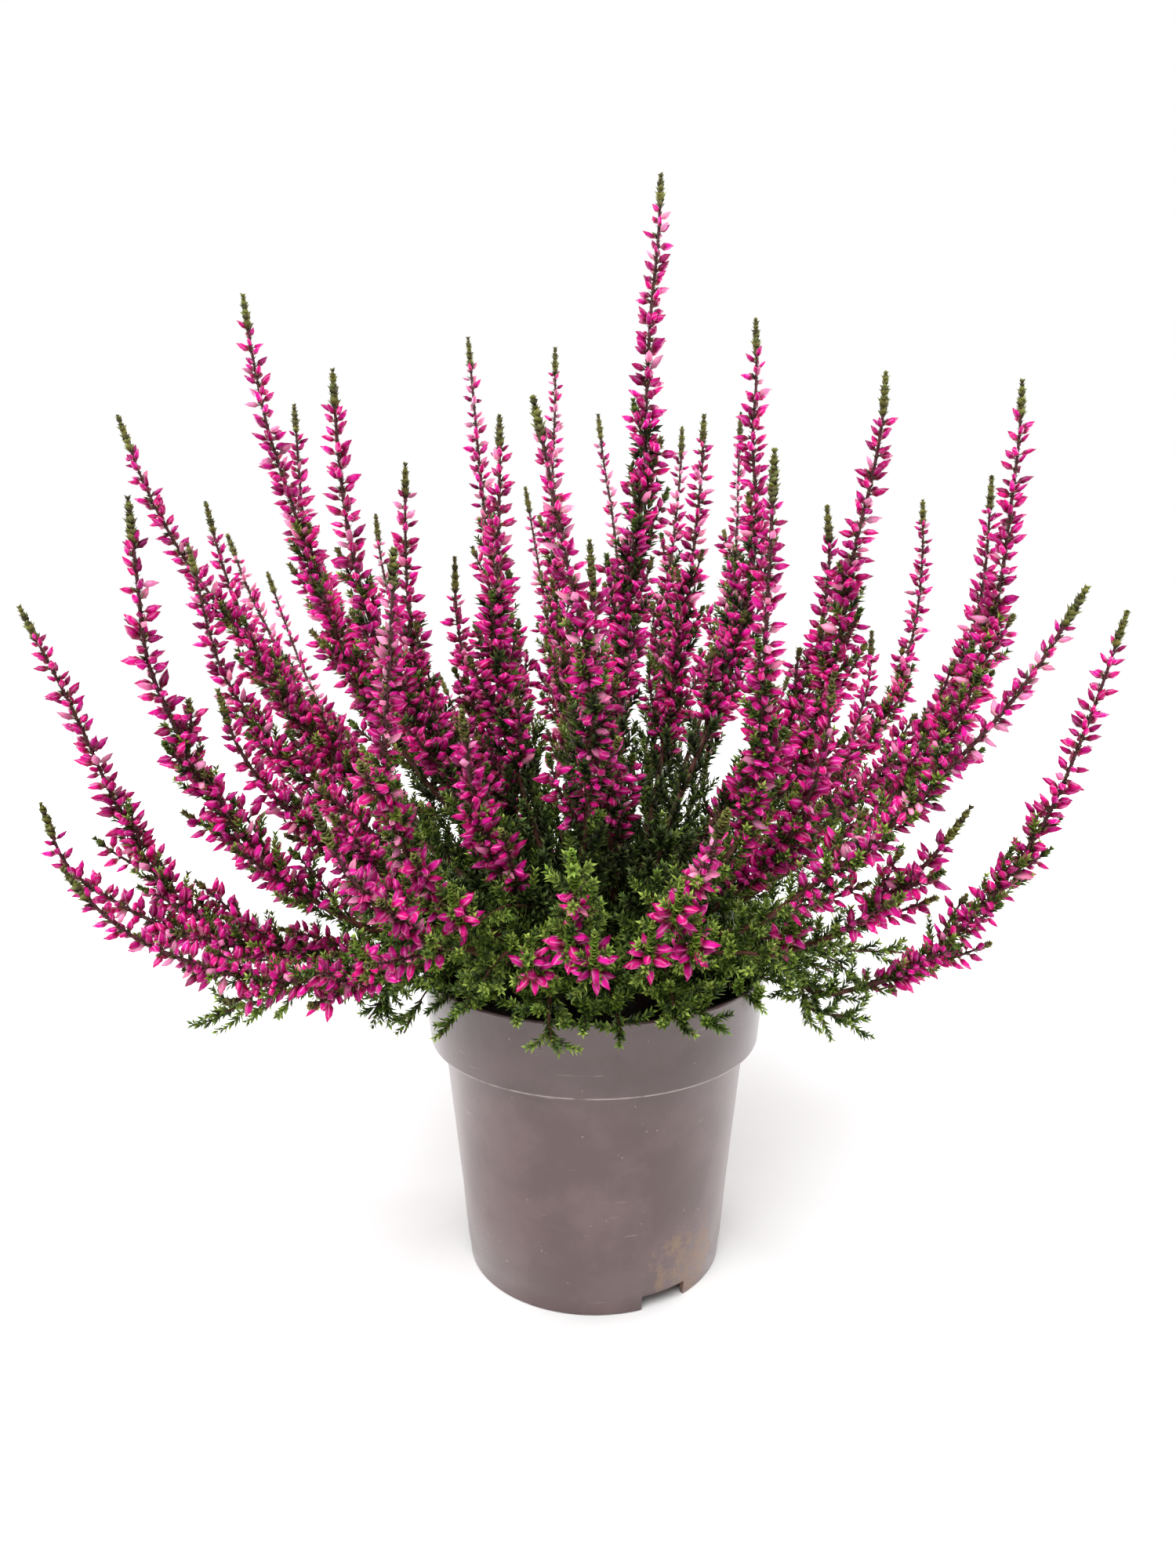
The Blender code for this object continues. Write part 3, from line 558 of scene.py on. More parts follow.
class Bench:
    """The modelling bench: what is done by hand in the viewport, by place instead of by mouse."""

    @staticmethod
    def clear() -> None:
        """Leaves edit mode with nothing selected."""
        active = bpy.context.view_layer.objects.active
        if active is not None and active.mode != "OBJECT":
            bpy.ops.object.mode_set(mode="OBJECT")
        bpy.ops.object.select_all(action="DESELECT")

    @staticmethod
    def take(thing: Thing) -> None:
        """Makes this the one object that is selected."""
        Bench.clear()
        thing.select_set(True)
        bpy.context.view_layer.objects.active = thing

    @staticmethod
    def edit(thing: Thing | None = None) -> None:
        """Opens an object, or else the newest one, in edit mode with all of it selected."""
        Bench.take(thing or bpy.context.view_layer.objects.active)
        bpy.ops.object.mode_set(mode="EDIT")
        bpy.ops.mesh.select_mode(type="VERT")
        bpy.ops.mesh.select_all(action="SELECT")

    @staticmethod
    def pick(rule: Rule) -> None:
        """Selects the vertices of the open mesh whose place meets a rule."""
        bpy.ops.mesh.select_all(action="DESELECT")
        mesh = bmesh.from_edit_mesh(bpy.context.edit_object.data)
        for point in mesh.verts:
            point.select = rule(point.co)
        mesh.select_flush(True)
        bmesh.update_edit_mesh(bpy.context.edit_object.data)

    @staticmethod
    def done(name: str) -> Thing:
        """Closes the open mesh with its faces outwards, applies its place and names it.

        Args:
            name: The object's name.

        Returns:
            The object.
        """
        bpy.ops.mesh.select_all(action="SELECT")
        bpy.ops.mesh.remove_doubles(threshold=SAME_PLACE)
        bpy.ops.mesh.normals_make_consistent(inside=False)
        bpy.ops.object.mode_set(mode="OBJECT")
        bpy.ops.object.transform_apply(location=True, rotation=True, scale=True)
        thing = bpy.context.view_layer.objects.active
        thing.name = name
        thing.data.name = name
        return thing

    @staticmethod
    def placed(name: str, data: bpy.types.ID) -> Thing:
        """Makes an object of its data, in the scene."""
        thing = bpy.data.objects.new(name, data)
        bpy.context.scene.collection.objects.link(thing)
        return thing

    @staticmethod
    def apply(thing: Thing) -> None:
        """Applies all of an object's modifiers, in order."""
        Bench.take(thing)
        for modifier in list(thing.modifiers):
            bpy.ops.object.modifier_apply(modifier=modifier.name)

    @staticmethod
    def draw_out(step: Point) -> None:
        """Extrudes what is selected by a step."""
        bpy.ops.mesh.extrude_region_move(TRANSFORM_OT_translate={"value": step})

    @staticmethod
    def drawn_out(sides: int, rings: Sequence[Pair], pointed: bool) -> None:
        """Draws a ring of points out into a closed body about Z, and leaves it open in edit mode.

        Args:
            sides: How many sides it has.
            rings: The height and radius of each ring, lowest first.
            pointed: Whether the last ring closes to a point.
        """
        height, radius = rings[0]
        Bench.clear()
        bpy.ops.mesh.primitive_circle_add(
            vertices=sides, radius=radius, fill_type="NGON", location=(0.0, 0.0, height)
        )
        Bench.edit()
        for next_height, next_radius in rings[1:]:
            Bench.draw_out((0.0, 0.0, next_height - height))
            ratio = next_radius / radius
            bpy.ops.transform.resize(value=(ratio, ratio, 1.0), center_override=(0.0, 0.0, next_height))
            height, radius = next_height, next_radius
        if pointed:
            bpy.ops.mesh.merge(type="CENTER")

    @staticmethod
    def turned(name: str, profile: Sequence[Pair], steps: int) -> Thing:
        """Spins a profile about Z into a closed body.

        Args:
            name: The object's name.
            profile: Radius and height of each point, from axis to axis.
            steps: How many steps the turn has.

        Returns:
            The object.
        """
        Bench.clear()
        bpy.ops.mesh.primitive_plane_add(size=0.001, location=ORIGIN)
        Bench.edit()
        bpy.ops.mesh.merge(type="CENTER")
        radius, height = profile[0]
        bpy.ops.transform.translate(value=(radius, 0.0, height))
        for next_radius, next_height in profile[1:]:
            Bench.draw_out((next_radius - radius, 0.0, next_height - height))
            radius, height = next_radius, next_height
        bpy.ops.mesh.select_all(action="SELECT")
        bpy.ops.mesh.spin(steps=steps, angle=math.tau, center=ORIGIN, axis=UP)
        bpy.ops.mesh.select_all(action="SELECT")
        bpy.ops.mesh.remove_doubles(threshold=SEAM_WIDTH)
        return Bench.done(name)


@dataclass
class Shape:
    """A modelled shape that is copied: its points, its faces and its place on one cell of a sheet."""

    points: Array
    loops: Array
    sizes: Array
    sheet: Array

    @classmethod
    def from_object(cls, thing: Thing) -> "Shape":
        """Reads a modelled object that stands along Z, lays it out on a cell, and removes it.

        Args:
            thing: The modelled object.

        Returns:
            Its shape, laid out with its girth across the cell and its height along it.
        """
        data = thing.data
        points = np.array([point.co for point in data.vertices])
        loops = np.array([loop.vertex_index for loop in data.loops])
        sizes = np.array([face.loop_total for face in data.polygons])
        low = points[:, 2].min()
        high = points[:, 2].max()
        sheet = np.zeros((len(loops), 2))
        for face in data.polygons:
            span = list(face.loop_indices)
            corners = points[loops[span]]
            if abs(face.normal.z) > FLAT:
                sheet[span] = CAP_MIDDLE + corners[:, :2] / np.abs(corners[:, :2]).max() * CAP_RADIUS
                continue
            middle = corners.mean(axis=0)
            facing = math.atan2(middle[1], middle[0])
            turns = np.arctan2(corners[:, 1], corners[:, 0]) - facing
            turns = (turns + math.pi) % math.tau - math.pi
            turns[np.hypot(corners[:, 0], corners[:, 1]) < SEAM_WIDTH] = 0.0
            sheet[span, 0] = SHEET_EDGE + SHEET_SPAN * (facing % math.tau + turns) / math.tau
            sheet[span, 1] = SHEET_EDGE + (1.0 - SHEET_EDGE) * (corners[:, 2] - low) / (high - low)
        bpy.data.objects.remove(thing)
        return cls(points, loops, sizes, np.clip(sheet, 0.0, 1.0))


class Copies:
    """Places for copies of one shape."""

    def __init__(self, shape: Shape) -> None:
        """Starts with no copies."""
        self.shape = shape
        self.places: list[tuple[Array, Array, float, float, float]] = []
        self.cells: list[Cell] = []

    def add(
        self, origin: Array, along: Array, spin: float, width: float, length: float, cell: Cell
    ) -> None:
        """Adds a copy: its foot, its way, its turn about that, its girth, its length and its cell."""
        self.places.append((origin, along, spin, width, length))
        self.cells.append(cell)

    def points(self) -> Array:
        """All the copies' points, as copy by point by axis."""
        origins = np.array([place[0] for place in self.places])
        along = np.array([place[1] for place in self.places])
        along = along / np.linalg.norm(along, axis=1)[:, None]
        spins, widths, lengths = (np.array([place[kind] for place in self.places]) for kind in (2, 3, 4))
        helper = np.where(np.abs(along[:, 2:3]) > STEEP, [[1.0, 0.0, 0.0]], [UP])
        first = np.cross(helper, along)
        first /= np.linalg.norm(first, axis=1)[:, None]
        second = np.cross(along, first)
        side = first * np.cos(spins)[:, None] + second * np.sin(spins)[:, None]
        cross = np.cross(along, side)
        axes = np.stack([side * widths[:, None], cross * widths[:, None], along * lengths[:, None]], axis=1)
        return origins[:, None, :] + np.einsum("pk,nkd->npd", self.shape.points, axes)

    def sheet(self) -> Array:
        """The copies' places on the colour sheet, as copy by corner by axis."""
        cells = np.array(self.cells, dtype=float)
        inside = CELL_MARGIN + self.shape.sheet * (1.0 - 2.0 * CELL_MARGIN)
        return (cells[:, None, :] + inside[None, :, :]) / CELLS


class Sheaf:
    """Copies of shapes gathered into one mesh."""

    def __init__(self) -> None:
        """Starts empty."""
        self.points: list[Array] = []
        self.loops: list[Array] = []
        self.sizes: list[Array] = []
        self.sheets: list[Array] = []
        self.ages: list[Array] = []
        self.count = 0

    def gather(
        self, shape: Shape, points: Array, sheet: Array | None = None, ages: Array | None = None
    ) -> None:
        """Adds copies of a shape.

        Args:
            shape: The shape.
            points: The copies' points, as copy by point by axis.
            sheet: Their places on the colour sheet, if they have one.
            ages: The age of each point, as copy by point, if they have one.
        """
        copies, size, _ = points.shape
        starts = self.count + np.arange(copies) * size
        self.points.append(points.reshape(-1, 3))
        self.loops.append((shape.loops[None, :] + starts[:, None]).reshape(-1))
        self.sizes.append(np.tile(shape.sizes, copies))
        if sheet is not None:
            self.sheets.append(sheet.reshape(-1, 2))
        if ages is not None:
            self.ages.append(ages.reshape(-1))
        self.count += copies * size

    @classmethod
    def of(cls, *kinds: Copies) -> "Sheaf":
        """A sheaf of all the copies of some shapes."""
        sheaf = cls()
        for copies in kinds:
            if copies.places:
                sheaf.gather(copies.shape, copies.points(), copies.sheet())
        return sheaf

    def thing(self, name: str, material: Material, smooth: bool) -> Thing:
        """Makes the object.

        Args:
            name: Its name.
            material: Its material.
            smooth: Whether it is shaded smooth.

        Returns:
            The object, in the scene.
        """
        points = np.concatenate(self.points)
        loops = np.concatenate(self.loops)
        sizes = np.concatenate(self.sizes)
        data = bpy.data.meshes.new(name)
        data.vertices.add(len(points))
        data.vertices.foreach_set("co", points.astype(np.float32).reshape(-1))
        data.loops.add(len(loops))
        data.loops.foreach_set("vertex_index", loops.astype(np.int32))
        data.polygons.add(len(sizes))
        data.polygons.foreach_set("loop_start", (np.cumsum(sizes) - sizes).astype(np.int32))
        data.polygons.foreach_set("use_smooth", np.full(len(sizes), smooth))
        if self.sheets:
            layer = data.uv_layers.new(name=UV_NAME)
            layer.data.foreach_set("uv", np.concatenate(self.sheets).astype(np.float32).reshape(-1))
        if self.ages:
            ages = data.attributes.new(AGE_NAME, "FLOAT", "POINT")
            ages.data.foreach_set("value", np.concatenate(self.ages).astype(np.float32))
        data.update(calc_edges=True)
        data.validate()
        data.materials.append(material)
        return Bench.placed(name, data)


@dataclass
class ShapeBook:
    """The shapes that are modelled once: the bud, the leaves, the twigs and the crumb of peat."""

    bud_rings: tuple[Pair, ...] = ((0.0, 0.045), (0.18, 0.042), (0.40, 0.200), (0.70, 0.165), (1.0, 0.0825))
    bud_curl: float = 0.05
    bud_sides: int = 4
    leaf_width: float = 0.215
    leaf_belly: float = 0.50
    leaf_lean: float = math.radians(42.0)
    scale_width: float = 0.36
    scale_belly: float = 0.62
    scale_lean: float = math.radians(33.0)
    pair_lift: float = 0.16
    twig_sides: int = 6
    twig_rings: int = 34
    twiglet_sides: int = 4
    twiglet_rings: int = 5
    crumb_roughness: float = 0.35
    crumb_size: Point = (1.0, 0.8, 0.7)
    bud: Shape = field(init=False)
    leaf: Shape = field(init=False)
    whorl: Shape = field(init=False)
    scales: Shape = field(init=False)
    twig: Shape = field(init=False)
    twiglet: Shape = field(init=False)
    crumb: Shape = field(init=False)

    def __post_init__(self) -> None:
        """Models every shape."""
        self.bud = self._model_bud()
        self.leaf = Shape.from_object(self._model_leaf("leaf", self.leaf_width, self.leaf_belly, 0.0))
        self.whorl = self._model_whorl("whorl", self.leaf_width, self.leaf_belly, self.leaf_lean)
        self.scales = self._model_whorl("scales", self.scale_width, self.scale_belly, self.scale_lean)
        self.twig = self._model_twig("twig", self.twig_sides, self.twig_rings)
        self.twiglet = self._model_twig("twiglet", self.twiglet_sides, self.twiglet_rings)
        self.crumb = self._model_crumb()

    def _model_bud(self) -> Shape:
        """A bud on its stalk: a lance of four sepals, drawn out ring by ring to a point."""
        Bench.drawn_out(self.bud_sides, self.bud_rings, pointed=True)
        Bench.pick(lambda point: point.z > self.bud_rings[-1][0] - 0.01)
        bpy.ops.transform.translate(value=(self.bud_curl, 0.0, 0.0))
        return Shape.from_object(Bench.done("bud"))

    @staticmethod
    def _model_leaf(name: str, width: float, belly: float, lean: float) -> Thing:
        """A scale leaf: a keeled lance of four faces with its foot on the axis, leaning out.

        Args:
            name: The object's name.
            width: How far its edges stand from its middle.
            belly: How high its widest part is.
            lean: How far it leans out from the axis.

        Returns:
            The object.
        """
        Bench.clear()
        top = 1.0 - belly
        bpy.ops.mesh.primitive_cone_add(
            vertices=3, radius1=width, depth=top, location=(0.0, 0.0, belly + top / 2)
        )
        Bench.edit()
        Bench.pick(lambda point: point.z < 0.0 and point.y > width * 0.25)
        bpy.ops.transform.translate(value=(0.0, -width, -belly))
        bpy.ops.mesh.select_all(action="SELECT")
        bpy.ops.transform.rotate(value=lean, orient_axis="X", center_override=ORIGIN)
        return Bench.done(name)

    def _model_whorl(self, name: str, width: float, belly: float, lean: float) -> Shape:
        """Four leaves round a shoot, the second pair a little above the first.

        Args:
            name: The object's name.
            width: How wide a leaf is.
            belly: How high its widest part is.
            lean: How far it leans out.

        Returns:
            Their shape.
        """
        thing = self._model_leaf(name, width, belly, lean)
        Bench.edit(thing)
        bpy.ops.mesh.spin(steps=1, angle=math.pi, dupli=True, center=ORIGIN, axis=UP)
        bpy.ops.mesh.select_all(action="SELECT")
        bpy.ops.mesh.duplicate()
        bpy.ops.transform.rotate(value=math.pi / 2, orient_axis="Z", center_override=ORIGIN)
        bpy.ops.transform.translate(value=(0.0, 0.0, self.pair_lift))
        bpy.ops.mesh.select_all(action="SELECT")
        bpy.ops.mesh.normals_make_consistent(inside=False)
        bpy.ops.object.mode_set(mode="OBJECT")
        return Shape.from_object(thing)

    @staticmethod
    def _model_twig(name: str, sides: int, rings: int) -> Shape:
        """A straight stem of unit height and girth, which is bent along a route."""
        Bench.drawn_out(sides, [(ring / rings, 1.0) for ring in range(rings + 1)], pointed=False)
        return Shape.from_object(Bench.done(name))

    def _model_crumb(self) -> Shape:
        """A crumb of peat: a rough lump."""
        Bench.clear()
        bpy.ops.mesh.primitive_ico_sphere_add(subdivisions=1, radius=1.0)
        Bench.edit()
        bpy.ops.transform.vertex_random(offset=self.crumb_roughness, uniform=0.2, seed=3)
        bpy.ops.transform.resize(value=self.crumb_size)
        return Shape.from_object(Bench.done("crumb"))


@dataclass(frozen=True)
class Branch:
    """One branch from the soil: the turn, in degrees, and the radius of the hole that it stands in."""

    name: str
    turn: float
    radius: float

    def fork(self) -> Vector:
        """Where its stems part, above its hole in the soil."""
        turn = math.radians(self.turn)
        return Vector((self.radius * math.cos(turn), self.radius * math.sin(turn), PlantSizes.fork_height))

    def turned_from(self, turn: float) -> float:
        """How far it is turned from a turn about the pot, in radians."""
        return abs(math.remainder(math.radians(self.turn) - turn, math.tau))


Sight = tuple[Branch, float, tuple[int, int]]


@dataclass(frozen=True)
class Stem:
    """One stem: its branch, how far back its tip is, and where it is seen, tip first, in pixels."""

    name: str
    branch: str
    depth: float
    sights: tuple[tuple[int, int], ...]
    bloom: float = 0.62

    @property
    def flowers(self) -> bool:
        """Whether it carries buds."""
        return self.bloom > 0.0

    @property
    def short(self) -> bool:
        """Whether it is one of the short green shoots in front, which carry only a few buds."""
        return 0.0 < self.bloom < 0.42 and self.depth < -0.09


class PlantSizes:
    """Sizes that the pot, the soil and the routes share with the solids."""

    fork_height: float = 0.1010
    rim_radius: float = 0.0550
    pot_height: float = 0.0998
    soil_top: float = 0.0880
    samples: int = 30


LEFT = Branch("branch_left", 184.0, 0.021)
LEFT_BACK = Branch("branch_left_back", 150.0, 0.020)
BACK_LEFT = Branch("branch_back_left", 115.0, 0.021)
BACK = Branch("branch_back", 90.0, 0.014)
BACK_RIGHT = Branch("branch_back_right", 55.0, 0.021)
RIGHT = Branch("branch_right", -4.0, 0.021)
FRONT_RIGHT = Branch("branch_front_right", -42.0, 0.020)
FRONT_LEFT = Branch("branch_front_left", -112.0, 0.019)
CENTRE_LEFT = Branch("branch_centre_left", 200.0, 0.007)
CENTRE_RIGHT = Branch("branch_centre_right", -20.0, 0.008)
BRANCHES = (
    LEFT, LEFT_BACK, BACK_LEFT, BACK, BACK_RIGHT, RIGHT, FRONT_RIGHT, FRONT_LEFT, CENTRE_LEFT, CENTRE_RIGHT,
)

# The flower spikes: the branch, how far back the tip is, and the pixels that the photograph shows it
# at, tip first. The last number is the share of the stem that carries buds, where it isn't as usual.
SPIKES_SEEN = (
    (LEFT, -0.012, ((25, 775), (100, 920), (150, 1030), (210, 1130), (300, 1190))),
    (LEFT, -0.040, ((52, 1025), (90, 1110), (150, 1152), (230, 1190))),
    (LEFT, -0.075, ((80, 1108), (110, 1145), (170, 1195), (250, 1230))),
    (LEFT_BACK, 0.030, ((150, 530), (185, 620), (240, 720), (290, 800), (340, 880))),
    (LEFT, -0.065, ((163, 635), (175, 740), (190, 850), (225, 930), (270, 1020), (330, 1080))),
    (LEFT_BACK, 0.075, ((262, 640), (275, 690), (290, 740), (330, 830))),
    (LEFT_BACK, 0.115, ((290, 682), (320, 760), (350, 820), (370, 870)), 0.50),
    (CENTRE_LEFT, 0.020, ((310, 378), (325, 470), (345, 560), (375, 650), (400, 740))),
    (BACK_LEFT, 0.080, ((375, 518), (380, 580), (385, 650))),
    (CENTRE_LEFT, -0.015, ((424, 472), (430, 560), (440, 650), (460, 750))),
    (LEFT, 0.025, ((239, 697), (262, 770), (300, 860))),
    (CENTRE_LEFT, 0.025, ((517, 593), (517, 680), (520, 760), (530, 850))),
    (FRONT_LEFT, -0.110, ((502, 700), (500, 780), (495, 870), (490, 950), (500, 1040), (530, 1110))),
    (BACK_LEFT, 0.100, ((597, 432), (605, 520), (612, 600))),
    (CENTRE_LEFT, 0.000, ((637, 530), (637, 620), (635, 700), (630, 800))),
    (BACK, 0.120, ((708, 445), (708, 520), (705, 590))),
    (FRONT_LEFT, -0.085, ((680, 508), (700, 600), (715, 680), (735, 770), (755, 880), (750, 1000))),
    (BACK, 0.150, ((670, 622), (680, 680), (690, 740))),
    (BACK, 0.140, ((763, 530), (770, 590), (780, 650))),
    (CENTRE_RIGHT, 0.015, ((843, 225), (840, 300), (830, 400), (825, 500), (822, 600), (800, 790))),
    (CENTRE_RIGHT, -0.040, ((752, 690), (756, 750), (762, 830))),
    (BACK_RIGHT, 0.060, ((898, 530), (895, 600), (885, 700))),
    (BACK_RIGHT, 0.120, ((870, 545), (868, 600), (862, 660)), 0.50),
    (CENTRE_RIGHT, 0.030, ((964, 407), (965, 480), (960, 560), (965, 650))),
    (BACK_RIGHT, 0.145, ((945, 527), (942, 600), (940, 680)), 0.50),
    (FRONT_RIGHT, -0.080, ((988, 575), (985, 650), (980, 750), (975, 850), (970, 950), (955, 1050))),
    (CENTRE_RIGHT, 0.005, ((1055, 645), (1058, 710), (1050, 790))),
    (RIGHT, -0.025, ((1130, 475), (1125, 540), (1110, 620), (1090, 700), (1075, 790), (1050, 900))),
    (BACK_RIGHT, 0.090, ((1177, 638), (1177, 700), (1170, 780), (1155, 850))),
    (RIGHT, 0.045, ((1265, 607), (1262, 660), (1255, 740), (1235, 830))),
    (RIGHT, -0.002, ((1304, 487), (1300, 560), (1290, 640), (1280, 720), (1260, 820), (1225, 910))),
    (FRONT_RIGHT, -0.090, ((1386, 750), (1350, 810), (1310, 870), (1260, 930), (1200, 990), (1130, 1060))),
    (RIGHT, -0.020, ((1438, 780), (1385, 930), (1320, 1070), (1220, 1190), (1150, 1245), (1080, 1268))),
    (RIGHT, -0.065, ((1238, 1030), (1205, 1075), (1140, 1140), (1070, 1190)), 0.35),
    (FRONT_RIGHT, -0.050, ((1062, 868), (1055, 940), (1030, 1020))),
    (BACK_LEFT, 0.050, ((580, 712), (582, 780), (595, 860))),
    (FRONT_LEFT, -0.100, ((729, 1085), (735, 1150), (740, 1200)), 0.40),
    (FRONT_LEFT, -0.055, ((589, 908), (600, 990), (625, 1080)), 0.50),
    (BACK_LEFT, 0.125, ((479, 656), (487, 720), (505, 790))),
    (LEFT_BACK, 0.150, ((341, 730), (362, 790), (385, 850))),
    (LEFT, -0.040, ((278, 881), (300, 945), (340, 1010), (390, 1070))),
    (FRONT_LEFT, -0.105, ((400, 1030), (440, 1110), (500, 1170)), 0.45),
    (FRONT_RIGHT, -0.100, ((928, 1035), (900, 1105), (860, 1170)), 0.45),
    (BACK_RIGHT, 0.070, ((1112, 805), (1108, 870), (1090, 940))),
    (BACK_LEFT, 0.165, ((560, 860), (590, 930), (620, 990))),
    (BACK, 0.165, ((800, 850), (795, 920), (785, 990))),
    (BACK_RIGHT, 0.160, ((1010, 850), (985, 920), (950, 990))),
    (LEFT_BACK, 0.125, ((330, 960), (390, 1020), (450, 1070))),
)

# The green shoots without buds, listed in the same way.
SHOOTS_SEEN = (
    (FRONT_LEFT, -0.066, ((705, 1340), (700, 1290), (712, 1240))),
    (FRONT_LEFT, -0.062, ((610, 1250), (640, 1220))),
    (FRONT_RIGHT, -0.062, ((862, 1290), (850, 1240))),
    (FRONT_RIGHT, -0.050, ((1000, 1220), (940, 1215))),
    (RIGHT, -0.012, ((1100, 1300), (1040, 1290), (975, 1265))),
    (RIGHT, 0.040, ((1060, 1150), (980, 1170))),
    (LEFT, -0.012, ((482, 1322), (540, 1285), (600, 1250))),
    (LEFT, -0.035, ((265, 1300), (340, 1265), (430, 1240))),
    (LEFT_BACK, 0.045, ((430, 1130), (520, 1150))),
    (BACK_LEFT, 0.085, ((620, 1120), (670, 1150))),
    (BACK, 0.090, ((740, 1110), (745, 1150))),
    (BACK_RIGHT, 0.085, ((880, 1110), (840, 1150))),
    (CENTRE_LEFT, -0.030, ((640, 1060), (690, 1140))),
    (CENTRE_RIGHT, -0.030, ((860, 1060), (820, 1140))),
)

# The low shoots with a few buds: the branch, how far back the end is, and where it is seen.
CLUSTERS_SEEN = (
    (FRONT_LEFT, -0.072, (585, 1172)),
    (FRONT_LEFT, -0.072, (678, 1236)),
    (FRONT_LEFT, -0.080, (727, 1205)),
    (FRONT_LEFT, -0.084, (758, 1232)),
    (FRONT_RIGHT, -0.076, (828, 1218)),
    (FRONT_RIGHT, -0.074, (884, 1212)),
    (FRONT_RIGHT, -0.082, (862, 1168)),
    (LEFT, -0.050, (470, 1235)),
    (RIGHT, -0.040, (1010, 1195)),
    (LEFT_BACK, 0.030, (455, 1165)),
    (BACK, 0.080, (700, 1102)),
    (BACK_RIGHT, 0.075, (860, 1108)),
    (BACK_LEFT, 0.075, (600, 1104)),
)

# The slim leafy shoots between the spikes, and those that reach over the rim, listed in the same way.
UPRIGHTS_SEEN = (
    (CENTRE_LEFT, 0.030, (678, 915)),
    (CENTRE_LEFT, 0.028, (655, 850)),
    (CENTRE_LEFT, -0.020, (575, 1010)),
    (BACK, 0.050, (795, 925)),
    (BACK, 0.070, (833, 905)),
    (BACK_RIGHT, 0.060, (856, 880)),
    (BACK_RIGHT, 0.050, (918, 900)),
    (CENTRE_RIGHT, 0.020, (905, 985)),
    (CENTRE_RIGHT, 0.010, (700, 1010)),
    (BACK_LEFT, 0.050, (560, 960)),
    (BACK_LEFT, 0.060, (598, 940)),
    (LEFT_BACK, 0.040, (505, 930)),
    (LEFT, -0.020, (470, 1300)),
    (LEFT, -0.032, (515, 1318)),
    (LEFT, 0.000, (440, 1272)),
    (LEFT, -0.036, (405, 1262)),
    (FRONT_LEFT, -0.048, (560, 1325)),
    (RIGHT, -0.022, (1010, 1250)),
    (RIGHT, -0.015, (1062, 1240)),
    (RIGHT, 0.000, (1108, 1262)),
    (RIGHT, -0.018, (1152, 1215)),
)


@dataclass(frozen=True)
class Eye:
    """Where the photograph was taken from, and how its pixels become directions."""

    place: Point = (0.0, -0.351, 0.224)
    tilt: float = math.radians(10.79)
    focal_pixels: float = 1447.7
    axis_column: float = 758.0
    centre_column: float = 750.0
    centre_row: float = 1000.0
    long_side: float = 2000.0
    sensor: float = 36.0

    def sighted(self, column: float, row: float, depth: float) -> Vector:
        """The point at a depth that is seen at a pixel.

        Args:
            column: The pixel's column.
            row: The pixel's row.
            depth: How far back the point is, in metres.

        Returns:
            The point.
        """
        ahead = Vector((0.0, math.cos(self.tilt), -math.sin(self.tilt)))
        above = Vector((0.0, math.sin(self.tilt), math.cos(self.tilt)))
        across = (column - self.axis_column) / self.focal_pixels
        up = (self.centre_row - row) / self.focal_pixels
        direction = ahead + Vector((across, 0.0, 0.0)) + above * up
        place = Vector(self.place)
        return place + direction * ((depth - place.y) / direction.y)

    def camera(self) -> None:
        """Makes the camera that sees what the photograph shows."""
        data = bpy.data.cameras.new("camera")
        data.sensor_width = self.sensor
        data.lens = self.focal_pixels / self.long_side * self.sensor
        data.shift_x = (self.centre_column - self.axis_column) / self.long_side
        data.clip_start = 0.01
        thing = Bench.placed("camera", data)
        thing.location = self.place
        thing.rotation_euler = (math.pi / 2 - self.tilt, 0.0, 0.0)
        bpy.context.scene.camera = thing


class Lines:
    """Sums on lines of points."""

    @staticmethod
    def distances(line: Array) -> Array:
        """How far along a line each of its points is."""
        return np.concatenate([[0.0], np.cumsum(np.linalg.norm(np.diff(line, axis=0), axis=1))])

    @staticmethod
    def resampled(line: Array, count: int) -> Array:
        """The same line with this many points, evenly spaced along it."""
        along = Lines.distances(line)
        wanted = np.linspace(0.0, along[-1], count)
        return np.stack([np.interp(wanted, along, line[:, axis]) for axis in range(3)], axis=1)

    @staticmethod
    def smooth(points: Sequence[Vector] | Array, count: int, steps: int = 24) -> Array:
        """Even samples on a smooth curve through points.

        Args:
            points: The points.
            count: How many samples there are.
            steps: How finely each span is drawn first.

        Returns:
            The samples.
        """
        points = np.array(points, dtype=float)
        knots = Lines.distances(points)
        slopes = np.gradient(points, knots, axis=0)
        fine = []
        for start in range(len(points) - 1):
            span = knots[start + 1] - knots[start]
            for t in np.linspace(0.0, 1.0, steps, endpoint=False):
                fine.append(
                    (2 * t**3 - 3 * t**2 + 1) * points[start]
                    + (t**3 - 2 * t**2 + t) * span * slopes[start]
                    + (3 * t**2 - 2 * t**3) * points[start + 1]
                    + (t**3 - t**2) * span * slopes[start + 1]
                )
        fine.append(points[-1])
        return Lines.resampled(np.array(fine), count)


